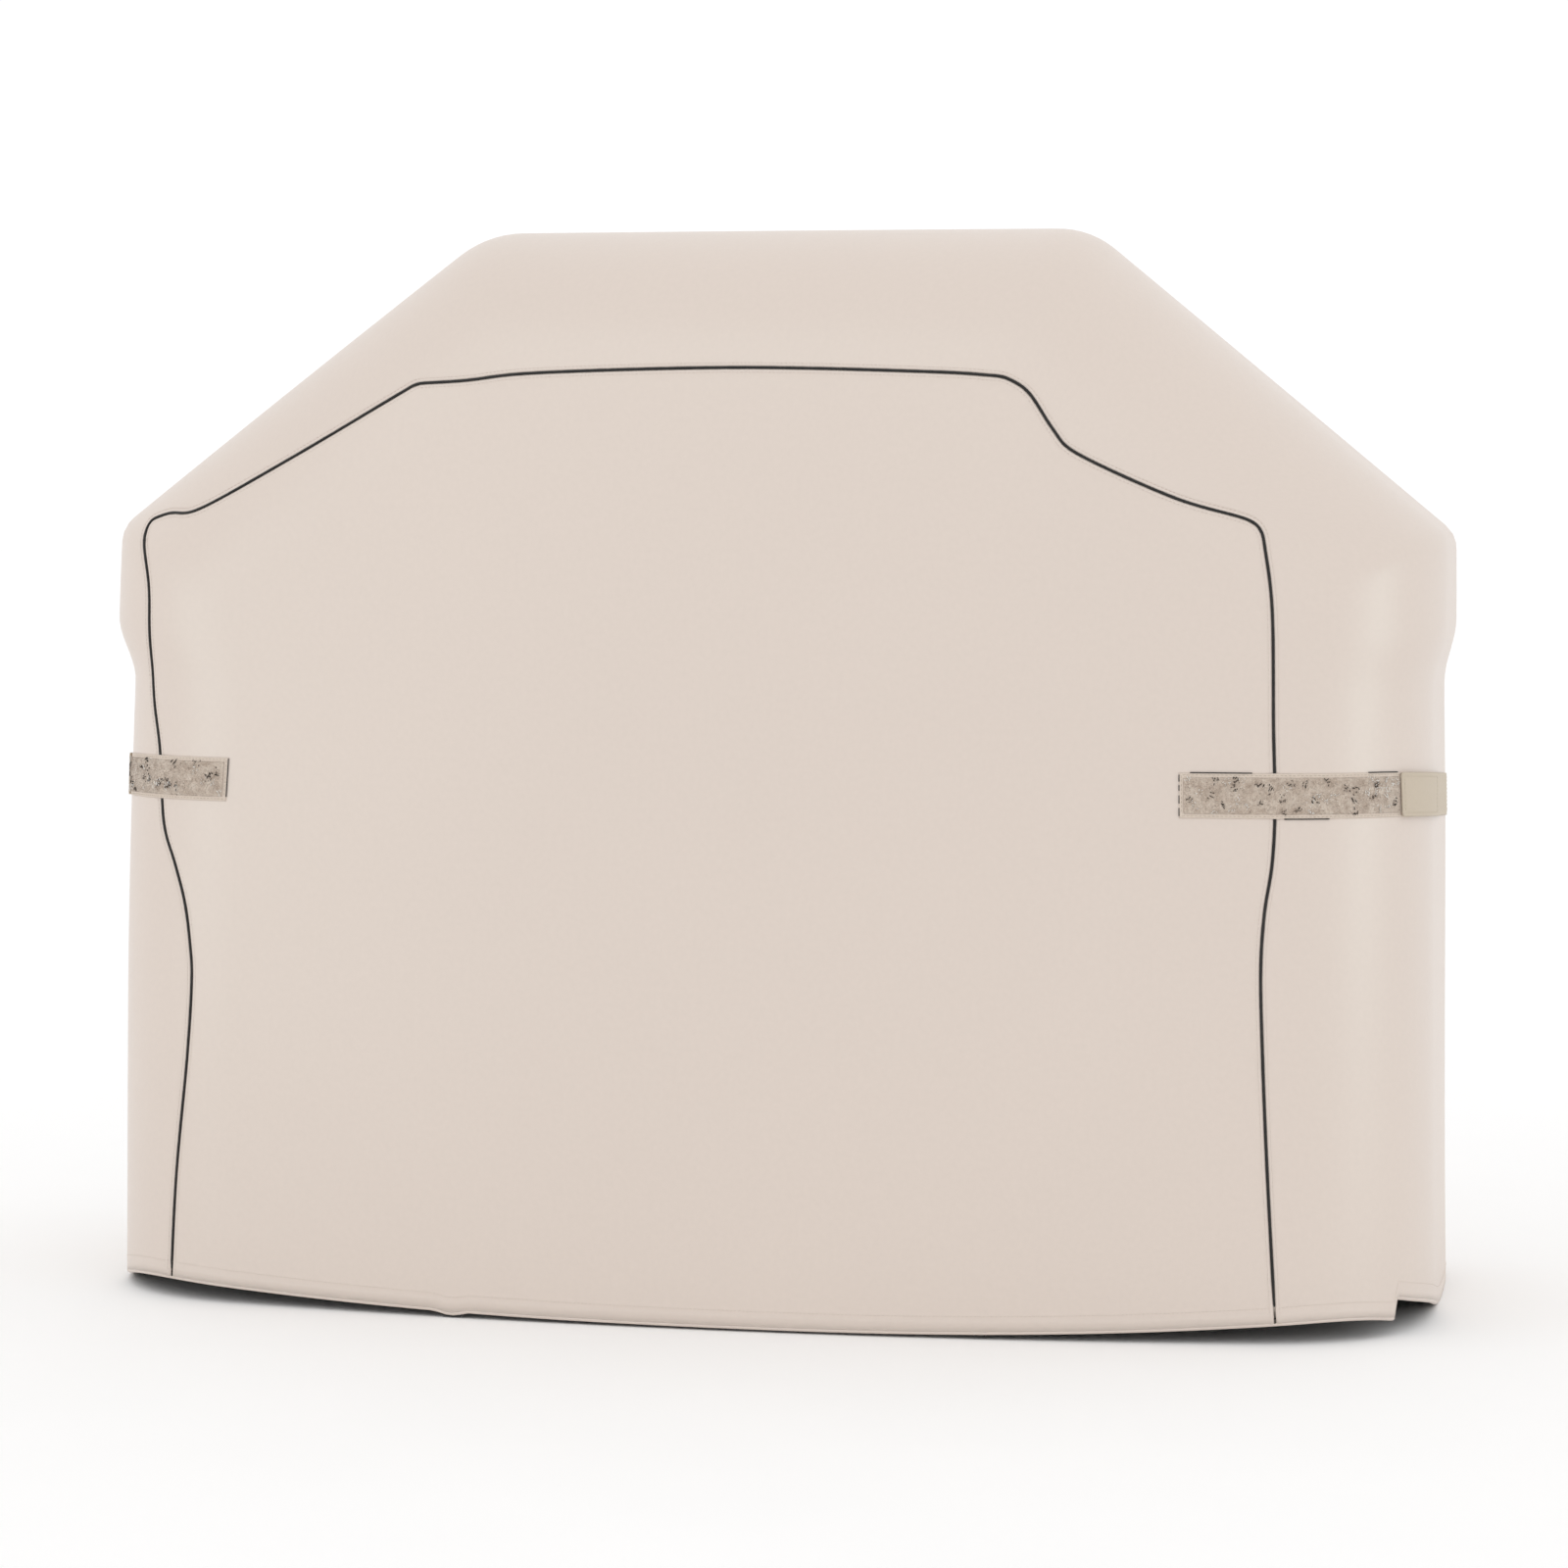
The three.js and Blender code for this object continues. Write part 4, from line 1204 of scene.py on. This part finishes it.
def pile_loops(belt, start, end, half, top):
    """The pile's loose loops, combed unevenly."""
    chance = np.random.default_rng(11 if belt.side == "left" else 12)
    count = int((end - start) * 2 * half * 1e6 * LOOPS_PER_MM2)
    along = chance.uniform(start + 1 * MM, end - 1 * MM, count)
    up = chance.uniform(-half, half, count)
    comb = 3 * ripple(belt.on_cloth(along, up), PILE_WAVES) + chance.normal(0, 0.9, count)
    reach = chance.uniform(0.5, 1.5, count) * MM
    tall = chance.uniform(0.25, 0.8, count) * MM
    a, u = strand_places(along, up, comb, reach)
    u = np.clip(u, -half - 0.5 * MM, half + 0.5 * MM)
    lift = np.where(STRAND == 0, tall[:, None], -0.2 * MM)
    obj = strands(f"{belt.side}_pile_loops", belt.on_cloth(a, u, top(a, u) + lift), 0.13 * MM)
    finish_piece(obj, "loop_pile", "fibre")


def pile_specks(belt, name, material, seed, start, end, half, top):
    """Tufts of caught lint, or of near-black strands, each lying its own way over the pile."""
    chance = np.random.default_rng(seed)
    tufts, each = int((end - start) / TUFT_PITCH), TUFT_STRANDS
    spread = chance.normal(0, 2.3 * MM, (2, tufts, each))
    along = np.clip(chance.uniform(start, end, (tufts, 1)) + spread[0], start, end).ravel()
    up = np.clip(chance.uniform(-half, half, (tufts, 1)) + spread[1], -half, half).ravel()
    lie = chance.uniform(0.6, 1.2, (tufts, 1)) * chance.choice([-1, 1], (tufts, 1))
    turn = (lie + chance.normal(0, 0.35, (tufts, each))).ravel()
    reach = chance.uniform(0.5, 1.0, (tufts, 1)) * chance.uniform(0.7, 3.6, (tufts, each)) * MM
    a, u = strand_places(along, up, turn, reach.ravel())
    obj = strands(f"{belt.side}_{name}", belt.on_cloth(a, u, top(a, u) + 0.9 * MM), 0.42 * MM)
    finish_piece(obj, "loop_pile", material)


def strap_webbing(belt):
    """The strap in one length, from its sewn root round to its loose tip."""
    half = STRAP_HALF - 0.2 * MM
    obj = band(belt, f"{belt.side}_strap_webbing", belt.tip, belt.root_end, half, belt.strap_top,
               step=2.5 * MM, rounded=3 * MM)
    finish_piece(obj, "webbing", "webbing", body=None)
    thicken(obj, STRAP_THICK)
    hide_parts(f"{belt.side}_strap", f"{belt.side}_strap_root")
    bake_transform(obj)


HOOK_PITCH = 1.9 * MM
HOOK_TALL = 0.75 * MM


def hook_tape(belt):
    """The hook tape under the strap's free end: its ground, and rows of bent hooks."""
    start, end = belt.tip + 4 * MM, belt.tip + HOOK_LENGTH
    half = STRAP_HALF - 3.5 * MM
    ground_top = STRAP_TOP - STRAP_THICK - 0.05 * MM
    ground = band(belt, f"{belt.side}_hook_ground", start, end, half,
                  lambda along, up: ground_top + 0 * along)
    free = f"{belt.side}_strap"
    finish_piece(ground, "hook_tape", "hook", body=free, node=f"{belt.side}_hook_tape")
    thicken(ground, 0.45 * MM)
    rows = np.arange(start + HOOK_PITCH, end - HOOK_PITCH, HOOK_PITCH)
    across = np.arange(-half + HOOK_PITCH, half - HOOK_PITCH / 2, HOOK_PITCH)
    along, up = (grid.ravel()[:, None] for grid in np.meshgrid(rows, across))
    bend = np.array([0, 0.05, 0.45, 0.6])[None] * MM
    drop = np.array([0, 0.7, 1.0, 0.7])[None] * HOOK_TALL
    spines = belt.on_cloth(along + bend, up, ground_top - 0.4 * MM - drop)
    hooks = strands(f"{belt.side}_hooks", spines, 0.14 * MM)
    finish_piece(hooks, "hook_tape", "hook", body=free)


def belt_line(belt, places, height):
    """A line over the tape through places along and across it."""
    places = spaced(np.array(places, float), 1.5 * MM)
    return belt.on_cloth(places[:, 0], places[:, 1], height(places[:, 0], places[:, 1]))


def rectangle(start, end, half):
    return [(start, -half), (end, -half), (end, half), (start, half), (start, -half)]


def strap_stitching(belt):
    """Rows round the patch, round the hook tape, and a crossed box at the strap's root."""
    edge = STRAP_HALF - 2.2 * MM
    border = rectangle(belt.patch_start + 2.2 * MM, belt.patch_end - 2.2 * MM, edge)
    box_start, box_end = belt.root + 6 * MM, belt.root_end - 5 * MM
    inner = STRAP_HALF - 4 * MM
    box = rectangle(box_start, box_end, inner)
    crosses = [[(box_start, -inner), (box_end, inner)], [(box_start, inner), (box_end, -inner)]]
    hook = rectangle(belt.tip + 5 * MM, belt.tip + HOOK_LENGTH - 2 * MM, STRAP_HALF - 4.5 * MM)
    for name, runs, height, body in (
        ("patch", [border], belt.patch_top, "cover"),
        ("root", [box, *crosses], belt.strap_top, "cover"),
        ("strap", [hook], belt.strap_top, f"{belt.side}_strap"),
    ):
        lines = [belt_line(belt, places, height) for places in runs]
        stitches(f"{belt.side}_{name}_stitching", lines, "strap_thread", "webbing", body)


# Painted shadow along the patch's edges, laid as near-black thread where the raised edge casts its
# shadow line: from and to, in mm out from the middle, and the edge.
EDGE_SHADOW_RUNS = {"left": [], "right": [(491, 556, 1), (672, 699, 1), (587, 632, -1)]}
# And across its end: from and to, as shares of its half width.
EDGE_SHADOW_ENDS = {"left": [(-0.8, 0.95)], "right": [(-0.9, -0.55), (-0.35, 0.0), (0.2, 0.45), (0.6, 0.9)]}


def painted_edge_shadows(belt):
    """Near-black threads at the patch's end and along parts of its edges: painted shadow, the shadow
    line under the patch's raised edge.
    """
    edge = STRAP_HALF + 0.2 * MM
    parts = []
    for out_from, out_to, which in EDGE_SHADOW_RUNS[belt.side]:
        start, end = belt.at_width(out_from * MM), belt.at_width(out_to * MM)
        parts.append([(start, which * edge), (end, which * edge)])
    start = belt.patch_start - 0.2 * MM
    parts += [[(start, a * edge), (start, b * edge)] for a, b in EDGE_SHADOW_ENDS[belt.side]]
    for k, places in enumerate(parts):
        line = belt_line(belt, places, lambda along, up: 0.9 * MM + belt.over_piping(along))
        obj = tube_object(f"{belt.side}_edge_shadow_line_{k + 1}", line, 0.6 * MM, 6)
        finish_piece(obj, "seam", "edge_shadow_thread")


for side in ("left", "right"):
    belt = Belt(side)
    patch_backing(belt)
    pile = pile_bed(belt)
    pile_loops(belt, *pile)
    pile_specks(belt, "dark_tufts", "speck", 21 + (side == "left"), *pile)
    pile_specks(belt, "lint", "lint", 31 + (side == "left"), *pile)
    strap_webbing(belt)
    hook_tape(belt)
    strap_stitching(belt)
    painted_edge_shadows(belt)


# ---- the floor and the light ----
FLOOR_HALF = 30
FLOOR_DROP = 0.5 * MM
WORLD_STRENGTH = 1.04
HIGHLIGHT_COLOUR = (0.8, 1.0, 0.96)
LIGHTS_AIM = Vector((0, 0, 0.6))
SOFTBOXES = {  # where each stands, its width and height in metres, its power in watts
    "left": ((-3.1, -2.9, 0.9), (0.7, 2.4), 32),
    "right": ((4.0, -1.2, 0.9), (1.0, 2.4), 42),
    "front": ((-0.9, -3.1, 3.3), (3.0, 0.6), 20),
}


def stage():
    mesh = bpy.data.meshes.new("floor")
    corners = [(-1, -1, 0), (1, -1, 0), (1, 1, 0), (-1, 1, 0)]
    mesh.from_pydata([Vector(corner) * FLOOR_HALF for corner in corners], [], [(0, 1, 2, 3)])
    mesh.materials.append(MATERIALS["floor"])
    floor = bpy.data.objects.new("floor", mesh)
    floor.location.z = -FLOOR_DROP
    bpy.context.scene.collection.objects.link(floor)
    floor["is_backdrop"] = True


def softbox(name, place, size, power):
    """A soft box that only adds a highlight: the even light comes from the world."""
    data = bpy.data.lights.new(f"softbox_{name}", "AREA")
    data.shape = "RECTANGLE"
    data.size, data.size_y = size
    data.energy = power
    data.color = HIGHLIGHT_COLOUR
    light = aimed(f"softbox_{name}", data, place, LIGHTS_AIM - Vector(place))
    light.visible_diffuse = False


def studio():
    world = bpy.data.worlds.new("studio")
    world.use_nodes = True
    background = world.node_tree.nodes["Background"]
    background.inputs["Color"].default_value = (1, 1, 1, 1)
    background.inputs["Strength"].default_value = WORLD_STRENGTH
    bpy.context.scene.world = world
    bpy.context.scene.view_settings.view_transform = "Standard"
    for name, facts in SOFTBOXES.items():
        softbox(name, *facts)


stage()
studio()


def corners(box):
    return [list(corner) for corner in box]


{"cad": corners(CAD_BOX), "visual": corners(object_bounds())}
